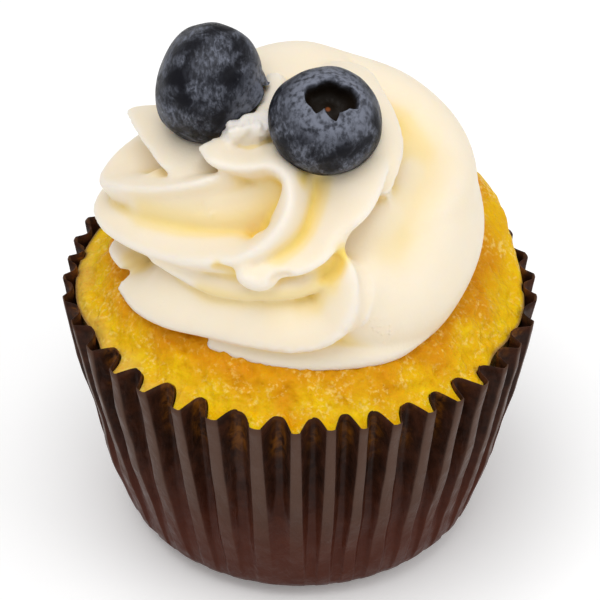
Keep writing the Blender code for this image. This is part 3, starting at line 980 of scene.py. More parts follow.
@dataclass(frozen=True)
class SpongeCake:
    """The cake: a crumbly domed top that fills the front pleats and has swollen over the rim at the back.

    The top's rows run from its edge inwards: the first ones lie edge_steps_mm inside the edge and
    the others at inner_radii_mm. The plain top's height follows from the radius by dome_mm, a table
    of (radius, height). It rolls off by brim_drop_mm within brim_width_mm of an edge that doesn't
    reach out into the pleats. The swollen side has rows of its own, swollen_mm. A pair of radii,
    heights or azimuths is where a change starts and where it is complete, but for pit_widths_mm and
    pit_depths_mm, which are the least and the most; a pit of negative depth is a blister.
    """

    case: PaperCase
    floor_mm: float = 0.7
    foot_inset_mm: float = 1.2
    gap_mm: float = 0.14
    pleat_reach_mm: float = 4.0
    wall_heights_mm: tuple[float, ...] = (0.7, 2.6, 6.0, 14.0, 24.0, 33.0, 35.6)
    edge_height_mm: float = 36.6
    edge_steps_mm: tuple[float, ...] = (0.2, 0.02, 0.3, 1.2)
    inner_radii_mm: tuple[float, ...] = (28.0, 22.0, 12.0, 0.6)
    dome_mm: Table = ((0.0, 46.8), (12.0, 46.2), (22.0, 44.4), (27.0, 41.9), (30.6, 38.3), (34.5, 37.6))
    dome_places: int = 80
    brim_drop_mm: float = 0.5
    brim_width_mm: float = 1.2
    swollen_mm: Table = ((32.0, 38.6), (32.0, 42.0), (32.0, 44.5), (31.5, 46.9), (28.0, 49.6), (22.0, 50.6),
                         (12.0, 49.0), (0.6, 46.8))
    swell_from: Span = (-8.0, 34.0)
    swell_to: Span = (85.0, 130.0)
    filled_azimuth: float = 268.0
    filled_fade: Span = (67.0, 44.0)
    seat_inset_mm: float = 2.0
    cleft_azimuth: float = 266.5
    cleft_width_mm: float = 1.8
    cleft_depth_mm: float = 0.7
    cleft_out_mm: Span = (34.5, 31.0)
    cleft_in_mm: Span = (26.5, 29.0)
    row_counts: tuple[int, ...] = (4, 3, 5, 12, 22, 4, 3)
    crumb: Layers = ((Waves(31, 6.0), 0.14), (Waves(32, 2.4, 32), 0.10), (Waves(33, 1.2, 40), 0.06))
    crumb_radii_mm: Span = (21.0, 23.0)
    crumb_inset_mm: Span = (0.0, 2.2)
    crumb_heights_mm: Span = (40.0, 41.6)
    swollen_calm: float = 0.8
    pit_count: int = 900
    pit_radius_mm: float = 23.0
    pit_height_mm: float = 38.0
    pit_widths_mm: Span = (0.28, 0.75)
    pit_depths_mm: Span = (-0.16, 0.34)
    fading: Waves = Waves(35, 9.0)
    orange_radii_mm: Span = (30.4, 25.6)
    orange_ragged_mm: float = 0.9
    orange_share: float = 0.8
    cleft_orange: float = 0.45
    swollen_orange: float = 0.25
    dry_radii_mm: Span = (29.5, 32.0)
    dry_ragged_mm: float = 0.5
    dry_azimuth: float = 200.0
    dry_fade: Span = (45.0, 25.0)
    dry_share: float = 0.35
    crust_shade_inset_mm: Span = (0.5, 0.1)
    seed: int = 21

    def swell(self, azimuth: np.ndarray) -> np.ndarray:
        """Return how far the cake has swollen at azimuths, 0 to 1."""
        turned = (azimuth + 180.0) % 360.0 - 180.0
        return ease(turned, *self.swell_from) * ease(turned, *self.swell_to[::-1])

    def filled(self, azimuth: np.ndarray) -> np.ndarray:
        """Return how far the cake fills the pleats at azimuths, 0 to 1."""
        return ease(apart(azimuth, self.filled_azimuth), *self.filled_fade)

    def places(self) -> np.ndarray:
        """Return where the top's profile is read between its rows, denser where the crumb shows."""
        steps = [start + np.arange(count) / count for start, count in enumerate(self.row_counts)]
        return np.append(np.concatenate(steps), float(len(self.row_counts)))

    def plain_mm(self, radius_mm: np.ndarray) -> np.ndarray:
        """Return the plain dome's height at radii, by a smooth curve through its table."""
        return np.interp(radius_mm, *smooth_profile(self.dome_mm, self.dome_places))

    def top(self, azimuth: np.ndarray, edge_mm: np.ndarray) -> tuple[np.ndarray, np.ndarray]:
        """Return the radii and heights of the top without its crumb.

        The height is the plain dome's less the roll at the brim, climbs from the edge's height by
        the sine of a quarter turn over the first row, and goes over to the swollen rows by swell.

        Args:
            azimuth: the columns' azimuths.
            edge_mm: the radius of the cake's edge in each column.

        Returns:
            (rows, columns) radii and heights in millimetres.
        """
        swell, filled = self.swell(azimuth), self.filled(azimuth)
        places = self.places()
        shares = blending(len(self.swollen_mm), places)
        near = edge_mm - np.array(self.edge_steps_mm)[:, None]
        far = np.array(self.inner_radii_mm)[:, None] * np.ones(len(azimuth))
        radius = shares @ np.vstack([near, far])
        roll = self.brim_drop_mm * (1.0 - filled) * ease(edge_mm - radius, self.brim_width_mm, 0.0)
        height = self.plain_mm(radius) - roll
        climb = np.sin(0.5 * math.pi * np.clip(places, 0.0, 1.0))[:, None]
        height = self.edge_height_mm + (height - self.edge_height_mm) * climb
        out, high = (shares @ column for column in np.array(self.swollen_mm).T)
        return radius + (out[:, None] - radius) * swell, height + (high[:, None] - height) * swell

    def height_over(self, points: np.ndarray) -> np.ndarray:
        """Return the plain top's height under or over points, tilted as the case is.

        Args:
            points: (n, 3) places in metres.

        Returns:
            The heights in metres.
        """
        radius = np.hypot(points[:, 0], points[:, 1]) / MM
        swell = self.swell(np.degrees(np.arctan2(points[:, 1], points[:, 0])))
        middles = np.array((180.0, 0.5 * (self.swell_from[1] + self.swell_to[0])))
        radii, heights = self.top(middles, np.full(2, self.case.rim_radius_mm - self.seat_inset_mm))
        low, high = (np.interp(radius, radii[::-1, side], heights[::-1, side]) for side in (0, 1))
        lean = 1.0 - self.case.rim_tilt * points[:, 0] / (self.case.rim_height_mm * MM)
        return (low + (high - low) * swell) * MM * lean

    def inside_mm(self, radius_mm: np.ndarray, height_mm: np.ndarray) -> tuple[np.ndarray, np.ndarray]:
        """Return the cake's side, a gap inside the paper and out in the pleats only where it fills them.

        Args:
            radius_mm: the case's ridge radius in each row.
            height_mm: each row's height.

        Returns:
            The (rows, columns) azimuths and radii in degrees and millimetres.
        """
        azimuth, radius, _, _ = self.case.wall_mm(radius_mm, height_mm)
        folds = radius_mm[:, None] - self.case.fold_depth_mm(azimuth, height_mm[:, None])
        reach = folds + self.pleat_reach_mm * self.filled(azimuth)
        nearest = np.minimum.reduce([np.roll(radius, step, axis=1) for step in range(-1, 2)])
        return azimuth, np.minimum(nearest, reach) - self.case.paper_mm - self.gap_mm

    def pits_mm(self, points: np.ndarray) -> np.ndarray:
        """Return the depth of round pores and blisters scattered over the top.

        Each is a bell exp(-d^2 / w^2) about one of the points.

        Args:
            points: places in metres, in an array of any shape ending in 3.

        Returns:
            The depth at each place, in millimetres.
        """
        draw = np.random.default_rng(self.seed)
        flat = points.reshape(-1, 3) / MM
        radii = np.hypot(flat[:, 0], flat[:, 1])
        shown = np.flatnonzero((radii > self.pit_radius_mm) & (flat[:, 2] > self.pit_height_mm))
        depth = np.zeros(len(flat))
        for middle in flat[draw.choice(shown, self.pit_count)]:
            width, deep = (draw.uniform(*span) for span in (self.pit_widths_mm, self.pit_depths_mm))
            depth += deep * bell(((flat - middle) ** 2).sum(axis=1) / width ** 2)
        return depth.reshape(points.shape[:-1])

    def cleft(self, azimuth: np.ndarray, radius_mm: np.ndarray) -> np.ndarray:
        """Return the share of the soft cleft that runs out from the cream in front.

        It is a bell exp(-d^2 / w^2) across, and fades out by smooth steps at both its ends.

        Args:
            azimuth: azimuths in degrees.
            radius_mm: radii, of a shape that broadcasts with azimuth.

        Returns:
            The share, 0 to 1.
        """
        aside = np.radians(apart(azimuth, self.cleft_azimuth)) * radius_mm
        across = np.exp(-(aside / self.cleft_width_mm) ** 2)
        return across * ease(radius_mm, *self.cleft_out_mm) * ease(radius_mm, *self.cleft_in_mm)

    def looks(self, azimuth: np.ndarray, inset_mm: np.ndarray, radius_mm: np.ndarray,
              fade: np.ndarray) -> dict[str, np.ndarray]:
        """Return what is painted on the top: orange by the cream, a dry edge, and browned brim with painted
        shade.

        Args:
            azimuth: the columns' azimuths.
            inset_mm: how far the places lie inside the cake's edge.
            radius_mm: their radii.
            fade: the value of the waves that make the limits ragged.

        Returns:
            The values, 0 to 1, by the names orange_inward, edge and wall.
        """
        swell = self.swell(azimuth)
        # More orange towards the cream, in the cleft and over the swollen side.
        orange_inward = ease(radius_mm + self.orange_ragged_mm * fade, *self.orange_radii_mm) * self.orange_share
        orange_inward = orange_inward + self.cleft_orange * self.cleft(azimuth, radius_mm) + self.swollen_orange * swell
        dry = self.dry_share * ease(radius_mm + self.dry_ragged_mm * fade, *self.dry_radii_mm)
        dry = dry * ease(apart(azimuth, self.dry_azimuth), *self.dry_fade)
        # Dark brown and painted shade on the bare brim, where the cake doesn't fill the pleats.
        shaded_crust = ease(inset_mm, *self.crust_shade_inset_mm) * (1.0 - self.filled(azimuth)) * (1.0 - swell)
        return {"orange_inward": np.clip(orange_inward, 0.0, 1.0), "edge": dry, "wall": shaded_crust}

    def surface(self) -> Surface:
        """Make the whole solid, floor, wall and top, with its painted orange_inward, edge and wall values.

        The crumb is waves less pits and cleft, along the top's normals where the top shows.

        Returns:
            The surface.
        """
        profile = self.case.profile()
        heights = np.array(self.wall_heights_mm)
        reach = np.interp(heights, profile[:, 1], profile[:, 0])
        turns, sides = self.inside_mm(reach, heights)
        sides[0] -= self.foot_inset_mm
        rim = np.array([self.case.rim_radius_mm])
        azimuth, edge = (row[0] for row in self.inside_mm(rim, np.array([self.case.rim_height_mm])))
        radius, height = self.top(azimuth, edge)
        top = polar(azimuth, radius * MM, height * MM)
        clear = np.maximum(ease(edge - radius, *self.crumb_inset_mm), ease(height, *self.crumb_heights_mm))
        shown = ease(radius, *self.crumb_radii_mm) * clear
        relief = layered(self.crumb, top) - self.pits_mm(top)
        relief = relief - self.cleft_depth_mm * self.cleft(azimuth, radius)
        relief = relief * shown * (1.0 - self.swollen_calm * self.swell(azimuth))
        top = top + grid_normals(top) * relief[..., None] * MM
        wall = polar(turns, sides * MM, heights[:, None] * MM)
        body = self.case.tilted(np.concatenate([wall, top]))
        surface = Surface.from_rings(body, np.array((0.0, 0.0, self.floor_mm * MM)), body[-1].mean(axis=0))
        bare = np.broadcast_to(1.0 - self.filled(azimuth), sides.shape)
        for name, values in self.looks(azimuth, edge - radius, radius, self.fading.at(top)).items():
            # Below the top only the brown side and painted shade go on, where the side doesn't fill the
            # pleats.
            below = float(name == "wall")
            surface.paint[name] = np.append(np.concatenate([bare * below, values]).ravel(), (below, 0.0))
        return surface

    def build(self) -> bpy.types.Object:
        """Make the cake."""
        return self.surface().piece("golden_sponge", Slot.SPONGE, SpongeFinish().material(), "sponge_cake")


# ---- Berries ----


# The photo looks down at VIEW_RISE from the level. The rows of FRONT_VIEW point to the photo's
# right, up in it and towards its camera.
VIEW_RISE = math.radians(37.5)
FRONT_VIEW = np.array(((1.0, 0.0, 0.0), (0.0, math.sin(VIEW_RISE), math.cos(VIEW_RISE)),
                       (0.0, -math.cos(VIEW_RISE), math.sin(VIEW_RISE))))


@dataclass(frozen=True)
class Berry:
    """An oblate berry with a pointed crown round a sunken cup.

    Attributes:
        name: the piece's name.
        node: the CAD node that it stands for.
        centre_mm: its middle.
        axis: where the crown's end points.
        radius_mm: half its width across the axis.
        half_height_mm: half its height along the axis.
        collar_mm: how far the crown's lobes stand up.
        opening: the crown's opening as a share of the radius.
        flare_mm: how far the crown's lobes splay outwards.
        boxiness: below 1 the spheroid is fuller, like a barrel.
        mouth: the crown opening's outline as (turn in degrees, share of the radius), or empty for a star.
        spin: the turn of the star about the axis, in degrees.
        dusty_mm: where the bloom is thick, as (right, up, width) when the berry is seen from the front.
        rubbed_mm: where the bloom is rubbed off, in the same way.
        seed: the seed of its lumps and of its star.
        sides: points in a ring.
        body_rows: rings from the far end to the shoulder.
        points: the star's points.
        star_depth: how far its clefts run in, as a share of the opening's radius.
        star_power: the lower, the sharper its points.
        star_sway: how unevenly its points are spread, in radians.
        tears: waves that make the opening uneven, as (waves in a round, height as a share).
        shoulder: the radius where the body ends and the crown starts, as a share of the berry's.
        lobe_least: how much of the lobes' rise is left in the clefts.
        flare_least: how much of their splay is left there.
        crown_rows: rings from the shoulder in to the mouth, as (share of the way, lift as a share of
            the radius, share of the lobes' rise, share of their splay).
        cup_rows: rings down into the cup, as (share of the mouth's radius, share of the lobes' rise,
            share of the cup's depth, share of the splay).
        cup_mm: the cup's depth.
        lumps: waves of the skin, as (length, height) in millimetres.
        lump_seed: what is added to the seed for the first of them.
        collar_from, collar_to, cup_from, scar_from: the rings between which the collar's bloom comes
            in and goes, the cup's pith comes in and the scar in its middle comes in, counted from
            the shoulder.
    """

    name: str
    node: str
    centre_mm: Triple
    axis: Triple
    radius_mm: float
    half_height_mm: float
    collar_mm: float
    opening: float = 0.46
    flare_mm: float = 0.0
    boxiness: float = 1.0
    mouth: Table = ()
    spin: float = 0.0
    dusty_mm: Route = ()
    rubbed_mm: Route = ()
    seed: int = 0
    sides: int = 180
    body_rows: int = 80
    points: int = 5
    star_depth: float = 0.26
    star_power: float = 0.8
    star_sway: float = 0.16
    tears: Table = ((1, 0.05), (3, 0.05), (7, 0.035), (11, 0.03), (17, 0.02))
    shoulder: float = 0.56
    lobe_least: float = 0.25
    flare_least: float = 0.4
    crown_rows: Rings = ((0.25, 0.030, 0.30, 0.0), (0.55, 0.048, 0.60, 0.15), (0.80, 0.050, 0.85, 0.5),
                         (0.94, 0.045, 1.02, 1.0), (1.0, 0.030, 1.0, 1.0))
    cup_rows: Rings = ((0.985, 0.75, 0.08, 0.5), (0.97, 0.4, 0.28, 0.1), (0.95, 0.0, 0.55, 0.0),
                       (0.85, 0.0, 0.80, 0.0), (0.60, 0.0, 0.96, 0.0), (0.34, 0.0, 1.0, 0.0),
                       (0.14, 0.0, 0.94, 0.0), (0.06, 0.0, 0.92, 0.0))
    cup_mm: float = 3.0
    lumps: Table = ((11.0, 0.10), (4.0, 0.035))
    lump_seed: int = 50
    collar_from: Span = (-16.0, 0.0)
    collar_to: Span = (7.0, 5.0)
    cup_from: Span = (4.0, 6.5)
    scar_from: Span = (11.0, 12.0)

    def facing(self) -> np.ndarray:
        """Return the turn that brings an upright berry's axis to this one's, as a matrix."""
        return np.array(Vector(self.axis).to_track_quat("Z", "Y").to_matrix())

    def turned(self, local: np.ndarray) -> np.ndarray:
        """Return points of the berry's own upright frame, in millimetres, at their place in the scene."""
        return (local @ self.facing().T + np.array(self.centre_mm)) * MM

    def pushed_out(self, points: np.ndarray, gap_mm: float) -> np.ndarray:
        """Move points that lie inside the berry's grown spheroid out to its skin.

        Args:
            points: (n, 3) places in metres.
            gap_mm: how far the spheroid is grown.

        Returns:
            All the points, moved or not.
        """
        size = np.array((self.radius_mm, self.radius_mm, self.half_height_mm)) + gap_mm
        local = (points / MM - np.array(self.centre_mm)) @ self.facing() / size
        far = np.linalg.norm(local, axis=1, keepdims=True)
        moved = local / np.maximum(far, TINY) * np.maximum(far, 1.0)
        return self.turned(moved * size)

    def spotted(self, points: np.ndarray, spots_mm: Route) -> np.ndarray:
        """Return how far points lie in round soft spots, 0 to 1.

        Each spot is a bell exp(-d^2 / w^2) about its middle on the skin, in front of the berry's
        own middle as seen along FRONT_VIEW.

        Args:
            points: places in metres, in an array of any shape ending in 3.
            spots_mm: each spot as (right, up, width).

        Returns:
            A value for each place.
        """
        share = np.zeros(points.shape[:-1])
        for right, up, width in spots_mm:
            near = math.sqrt(max(self.radius_mm ** 2 - right ** 2 - up ** 2, 0.0))
            middle = np.array(self.centre_mm) + np.array((right, up, near)) @ FRONT_VIEW
            share = share + bell(((points / MM - middle) ** 2).sum(axis=-1) / width ** 2)
        return np.clip(share, 0.0, 1.0)

    def star(self, turns: np.ndarray) -> tuple[np.ndarray, np.ndarray]:
        """Work out the crown's star.

        The opening's radius is r0 (1 - depth |sin(n t / 2)|^power), which has outward cusps, made
        uneven by a few waves more. Where the mouth is given, it takes the star's place.

        Args:
            turns: the turns about the axis, in radians.

        Returns:
            The crown's wave, 0 in the clefts to 1 on the lobes, and the opening's radius.
        """
        if self.mouth:
            reach = np.interp(np.degrees(turns), *zip(*self.mouth), period=360.0) * self.radius_mm
            return (reach.max() - reach) / np.ptp(reach), reach
        draw = np.random.default_rng(self.seed)
        sway = self.star_sway * np.sin(turns * 2.0 + draw.uniform(0.0, 6.0))
        wave = np.abs(np.sin(self.points * (turns + sway + math.radians(self.spin)) / 2.0)) ** self.star_power
        torn = sum(size * np.sin(count * turns + draw.uniform(0.0, 6.0)) for count, size in self.tears)
        return wave, self.opening * self.radius_mm * (1.0 - self.star_depth * wave) * (1.0 + torn)

    def surface(self) -> Surface:
        """Make the berry: body rings up to the shoulder, then the crown's lobes and its cup.

        The body is sin^b and cos^b of the angle from the far end, b being the boxiness.

        Returns:
            The surface, with its painted collar, cup, scar, dusty and rubbed values.
        """
        turns = np.linspace(0.0, 2.0 * math.pi, self.sides, endpoint=False)
        wave, mouth = self.star(turns)
        angle = np.linspace(0.0, math.pi - math.asin(self.shoulder ** (1.0 / self.boxiness)),
                            self.body_rows + 1)[1:, None]
        width = np.sin(angle) ** self.boxiness * self.radius_mm * np.ones(self.sides)
        level = -np.sign(np.cos(angle)) * np.abs(np.cos(angle)) ** self.boxiness
        level = level * self.half_height_mm * np.ones(self.sides)
        top, rim = level[-1, 0], self.shoulder * self.radius_mm
        lobe = self.collar_mm * (self.lobe_least + (1.0 - self.lobe_least) * wave)
        flare = self.flare_mm * (self.flare_least + (1.0 - self.flare_least) * wave)
        lip = self.crown_rows[-1][1] * self.radius_mm
        crown = [(rim + (mouth - rim) * share + flare * splay, top + lift * self.radius_mm + lobe * rise)
                 for share, lift, rise, splay in self.crown_rows]
        crown += [((mouth + (mouth.mean() - mouth) * drop) * share + flare * splay,
                   top + lip + lobe * rise - self.cup_mm * drop)
                  for share, rise, drop, splay in self.cup_rows]
        width = np.vstack([width, [row[0] for row in crown]])
        level = np.vstack([level, [row[1] for row in crown]])
        rings = self.turned(np.stack([width * np.cos(turns), width * np.sin(turns), level], axis=-1))
        layers = tuple((Waves(self.seed + self.lump_seed + index, length), height)
                       for index, (length, height) in enumerate(self.lumps))
        outward = unit(rings - np.array(self.centre_mm) * MM)
        rings = rings + outward * layered(layers, rings)[..., None] * MM
        surface = Surface.closed(rings)
        order = (np.arange(len(rings)) - self.body_rows)[:, None] * np.ones(self.sides)
        paint = {"collar": ease(order, *self.collar_from) * ease(order, *self.collar_to),
                 "cup": ease(order, *self.cup_from), "scar": ease(order, *self.scar_from),
                 "dusty": self.spotted(rings, self.dusty_mm), "rubbed": self.spotted(rings, self.rubbed_mm)}
        for name, values in paint.items():
            surface.paint[name] = np.append(values.ravel(), (0.0, values[-1, 0]))
        return surface

    def build(self, material: bpy.types.Material) -> bpy.types.Object:
        """Make the berry with the given skin."""
        return self.surface().piece(self.name, Slot.SKIN, material, self.node)


BERRIES = (
    Berry("blue_berry_left", "berry_left", centre_mm=(-12.9, 3.0, 71.2), axis=(0.92, -0.24, -0.31),
          radius_mm=8.5, half_height_mm=7.1, collar_mm=1.3, opening=0.38, flare_mm=0.8, boxiness=0.88,
          spin=-29.0, seed=1,
          dusty_mm=((-0.2, 1.6, 1.9), (0.8, 5.3, 1.3), (-6.3, -1.4, 1.3), (0.5, -3.1, 1.7), (6.2, 1.3, 1.3),
                    (-4.9, -5.4, 1.6), (4.5, -2.2, 1.5)),
          rubbed_mm=((-4.9, 0.6, 1.7), (-1.6, 4.9, 1.3), (4.7, 4.7, 1.9), (3.5, 0.6, 1.6), (-3.2, -2.7, 1.5),
                     (1.8, -5.3, 1.5), (-4.4, 4.4, 1.4))),
    Berry("blue_berry_right", "berry_right", centre_mm=(3.55, -6.5, 71.4), axis=(0.08, -0.42, 0.90),
          radius_mm=7.9, half_height_mm=6.5, collar_mm=0.45, seed=2,
          mouth=((6, 0.50), (21, 0.44), (45, 0.30), (77, 0.35), (98, 0.33), (122, 0.33), (142, 0.46),
                 (181, 0.43), (202, 0.38), (224, 0.40), (237, 0.24), (256, 0.36), (273, 0.47), (289, 0.33),
                 (318, 0.38), (328, 0.52)),
          dusty_mm=((1.8, 5.7, 1.8), (5.2, 3.1, 1.6), (-6.2, 2.0, 1.6), (-0.8, 0.0, 1.4), (4.4, -1.3, 1.8),
                    (-4.6, -0.6, 1.3)),
          rubbed_mm=((-3.2, -2.9, 1.6), (-5.0, 5.6, 1.5), (0.5, -6.6, 2.0), (7.3, 1.0, 1.3), (2.4, -4.2, 1.1),
                     (-6.2, -3.6, 1.5))),
)


# ---- Frosting ----


@dataclass(frozen=True)
class Fold:
    """One piped ridge: the front arc of an oval carried along its crest.

    Attributes:
        name: what the ridge is.
        stops: the crest's (azimuth, radius, height) in degrees and millimetres.
        lean: the oval's angle above the horizontal along the crest, in degrees.
        reach: half the oval's depth behind the crest, in millimetres.
        thickness: half the oval's thickness in millimetres.
        turn: how far the oval swings about the vertical along the crest, in degrees.
        ends: the oval's size at the two ends.
        ends_share: the share of the crest's length over which it grows from them to its full size.
        pinch: how much the crest narrows to an edge.
    """

    name: str
    stops: Route
    lean: tuple[float, ...]
    reach: float
    thickness: float
    turn: tuple[float, ...] = (0.0, 0.0)
    ends: Span = (0.35, 0.35)
    ends_share: float = 0.12
    pinch: float = 0.0

    def surface(self, samples: int, sides: int, arc: float) -> Surface:
        """Return the ridge as a closed body.

        A section's point at angle t lies reach (1 - cos t) behind the crest and thickness sin t
        |sin(t / 2)|^pinch to its side.

        Args:
            samples: sections along the crest.
            sides: points in a section.
            arc: the section's half arc, in radians.

        Returns:
            The body, its ends closed.
        """
        LOG.debug("folding %s", self.name)
        azimuth, crest = routed(self.stops)
        place = np.linspace(0.0, 1.0, samples)
        track = spline(np.column_stack([crest, azimuth * MM]), place)
        crest, azimuth = track[:, :3], track[:, 3] / MM
        lean = np.radians(np.interp(place, np.linspace(0.0, 1.0, len(self.lean)), self.lean))
        swing = np.interp(place, np.linspace(0.0, 1.0, len(self.turn)), self.turn)
        bearing = np.radians(azimuth + swing)
        outward = np.column_stack([np.cos(lean) * np.cos(bearing), np.cos(lean) * np.sin(bearing),
                                   np.sin(lean)])
        along = unit(np.gradient(crest, axis=0))
        outward = unit(outward - (outward * along).sum(axis=1, keepdims=True) * along)
        across = np.cross(along, outward)
        swell = np.interp(place, (0.0, self.ends_share, 1.0 - self.ends_share, 1.0),
                          (self.ends[0], 1.0, 1.0, self.ends[1]))
        size = swell[:, None, None] * MM
        turns = np.linspace(-arc, arc, sides)[None, :, None]
        depth = self.reach * size * (np.cos(turns) - 1.0)
        width = self.thickness * size * np.sin(turns) * np.abs(np.sin(turns / 2)) ** self.pinch
        return Surface.closed(crest[:, None, :] + depth * outward[:, None, :] + width * across[:, None, :])


FOLDS = (
    Fold("base_strip", ((238.5, 25.4, 43.4), (252, 25.4, 43.0), (268, 25.6, 42.6), (284, 26.0, 42.7),
                        (300, 26.8, 43.0), (314, 26.4, 43.6)),
         (-5, -10, 0), 9.0, 3.4, ends=(1.0, 0.5)),
    Fold("lower_coil", ((262, 19.0, 47.0), (280, 22.8, 46.0), (300, 26.2, 45.4), (316, 26.8, 46.6),
                        (332, 26.6, 48.4), (348, 26.5, 49.8), (10, 26.4, 50.6), (45, 26.4, 51.0),
                        (85, 26.0, 51.0), (130, 25.5, 51.0), (165, 24.0, 50.0)),
         (-10, -5, 0, 0, 0, 0), 12.0, 10.6, ends=(0.6, 0.5)),
    Fold("upper_coil", ((262, 14.0, 54.0), (282, 16.6, 54.8), (303, 19.4, 56.3), (325, 21.6, 58.0),
                        (345, 23.6, 58.9), (5, 24.5, 59.6), (24, 23.9, 61.6), (43, 21.6, 64.6),
                        (69, 18.8, 66.8), (90, 17.4, 68.8), (112, 17.0, 68.6), (140, 17.0, 66.5),
                        (165, 14.0, 65.5)),
         (30, 30, 30, 35, 45, 50, 45, 40), 12.0, 8.4, ends=(0.7, 0.5)),
    Fold("front_petal", ((198, 27.5, 43.7), (212, 27.6, 44.3), (226, 27.3, 45.3), (240, 26.0, 45.8),
                         (255, 26.0, 46.1), (270, 26.5, 46.4), (280, 27.2, 48.6), (286, 26.8, 52.2),
                         (289, 24.8, 56.6), (289, 21.0, 60.0)),
         (-20, -28, -28, -22, 0, 15), 11.0, 4.0, turn=(0, 0, 0, 0, 20), pinch=0.2),
    Fold("narrow_band", ((215, 25.6, 53.3), (226, 24.5, 52.7), (238, 24.0, 52.2), (248, 23.4, 52.3),
                         (259, 22.9, 52.8), (270, 22.8, 53.6), (279, 22.7, 55.5), (284, 21.7, 57.8)),
         (-10, -10, 0), 5.0, 2.2, ends=(0.5, 0.8)),
    Fold("left_scrap", ((172, 25.0, 45.6), (186, 27.6, 46.4), (198, 27.0, 47.2)),
         (-5, -5, -5), 7.0, 1.9),
    Fold("hairpin", ((125, 26.0, 50.0), (150, 28.0, 50.0), (176, 29.8, 50.6), (190, 28.8, 52.0),
                     (204, 27.2, 53.6), (220, 25.4, 54.9), (236, 24.6, 57.0), (250, 23.4, 59.2),
                     (260, 20.6, 62.0), (265, 17.2, 65.0), (261, 13.8, 67.0), (250, 12.6, 67.2),
                     (234, 14.0, 66.4), (218, 16.0, 66.4), (204, 15.8, 66.8)),
         (-5, -5, -5, -5, 0, 22, 50, 22, 0), 10.0, 3.2, pinch=0.2),
    Fold("inner_slope", ((188, 25.4, 56.5), (199, 22.5, 58.5), (210, 19.6, 59.5), (221, 16.9, 60.4),
                         (231, 14.2, 61.1), (240, 11.6, 62.1), (244, 7.8, 62.3)),
         (10, 30, 42, 35), 8.0, 5.4, ends=(0.4, 0.8)),
    Fold("outer_curl", ((334, 12.2, 68.0), (324, 15.2, 66.8), (305, 18.6, 63.8), (289, 20.9, 60.9),
                        (279, 22.6, 58.8), (270, 23.4, 57.5), (257, 23.8, 57.0), (249, 23.8, 57.2)),
         (10, 5, 5, 0, 0), 9.0, 2.3, turn=(20, 10, 0, 0), ends=(0.5, 0.6), pinch=0.2),
    Fold("curl_tip", ((250, 23.8, 58.0), (251, 24.9, 56.7), (256, 25.1, 55.9), (262.5, 23.9, 56.7)),
         (0, 0, 0), 2.4, 1.6, ends=(0.9, 0.8)),
    Fold("left_fin", ((95, 22.0, 57.0), (140, 26.0, 55.5), (165, 28.4, 55.2), (176, 28.9, 55.6),
                      (189, 26.5, 58.4), (199, 23.6, 60.5), (208, 20.7, 62.2), (216, 17.8, 63.6),
                      (222, 14.5, 64.7), (224, 10.7, 65.4)),
         (0, 5, 10, 20, 25, 30), 10.0, 4.4, pinch=0.4),
    Fold("high_fin", ((80, 19.5, 58.5), (110, 22.0, 57.4), (140, 25.2, 57.6), (159.5, 26.6, 62.2),
                      (170, 24.2, 63.0), (182, 21.8, 62.8), (196, 20.0, 62.4), (208, 18.6, 62.0),
                      (220, 15.5, 61.5)),
         (10, 5, 5, 5, 5, 5), 11.0, 3.9, pinch=0.6),
    Fold("right_curl", ((100, 10.0, 67.5), (64, 13.0, 68.8), (46, 13.6, 69.0), (19, 12.6, 69.0),
                        (356, 13.6, 68.3), (341, 15.4, 66.6), (327, 17.0, 64.8), (318, 18.0, 62.0)),
         (20, 10, 0, -5, -10), 8.4, 3.6, ends=(0.5, 0.9), pinch=0.2),
)


@dataclass(frozen=True)
class Touch:
    """A stroke along a curve, where the cream's skin is smoothed, pushed in, roughened or given painted
    shade.

    Attributes:
        stops: the curve's (azimuth, radius, height) in degrees and millimetres.
        width_mm: the distance at which the touch has faded to a share of 1/e.
        soft: how much of the much smoothed skin it takes, 0 to 1.
        press_mm: how deep it pushes the skin in.
        rough_mm: the height of the crinkles that it leaves.
        shade_tint: how much golden painted shade it adds to the cream, 0 to 1, or takes away where negative.
        samples: how many places of the smooth curve are read for each stop.
    """

    stops: Route
    width_mm: float
    soft: float = 0.0
    press_mm: float = 0.0
    rough_mm: float = 0.0
    shade_tint: float = 0.0
    samples: int = 8

    def weight(self, points: np.ndarray) -> np.ndarray:
        """Return the touch's share exp(-d^2 / w^2), d being the distance from its curve.

        Args:
            points: (n, 3) places in metres.

        Returns:
            The share at each place.
        """
        _, curve = routed(self.stops)
        if len(curve) > 2:
            curve = spline(curve, np.linspace(0.0, 1.0, self.samples * len(curve)))
        nearest = np.full(len(points), np.inf)
        for start, end in zip(curve[:-1], curve[1:]):
            step = end - start
            share = np.clip((points - start) @ step / (step @ step), 0.0, 1.0)
            nearest = np.minimum(nearest, ((points - start - share[:, None] * step) ** 2).sum(axis=1))
        return bell(nearest / (self.width_mm * MM) ** 2)


COIL_SEAM = Touch(((293, 21.5, 54.0), (306, 23.6, 53.6), (325, 26.2, 53.4), (345, 27.0, 54.2),
                   (5, 27.4, 55.0), (24, 27.0, 56.0), (45, 26.0, 57.5), (70, 24.0, 59.0),
                   (100, 22.5, 60.0), (135, 22.5, 58.5)), 4.0, soft=1.0)
# This touch presses the valley in and also paints golden shade into it.
COIL_VALLEY = Touch(((16, 15.4, 64.6), (4, 17.2, 63.2), (350, 18.6, 62.4), (330, 19.4, 60.6),
                     (316, 20.4, 58.2), (308, 20.6, 56.4)), 3.6, soft=0.6, press_mm=1.5, shade_tint=0.22)
VALLEY_FOOT = Touch(((304, 20.2, 55.4), (296, 21.6, 53.0), (290, 23.2, 50.6)), 3.0, soft=0.9, press_mm=-1.3)
PETAL_SIDE = Touch(((289, 21.0, 60.0), (294, 20.4, 56.6), (295, 22.4, 53.4)), 2.6, soft=1.0)
CROWN_NOTCH = Touch(((62, 16.2, 67.8), (46, 14.6, 68.8), (28, 14.4, 67.4)), 1.3, press_mm=0.5)
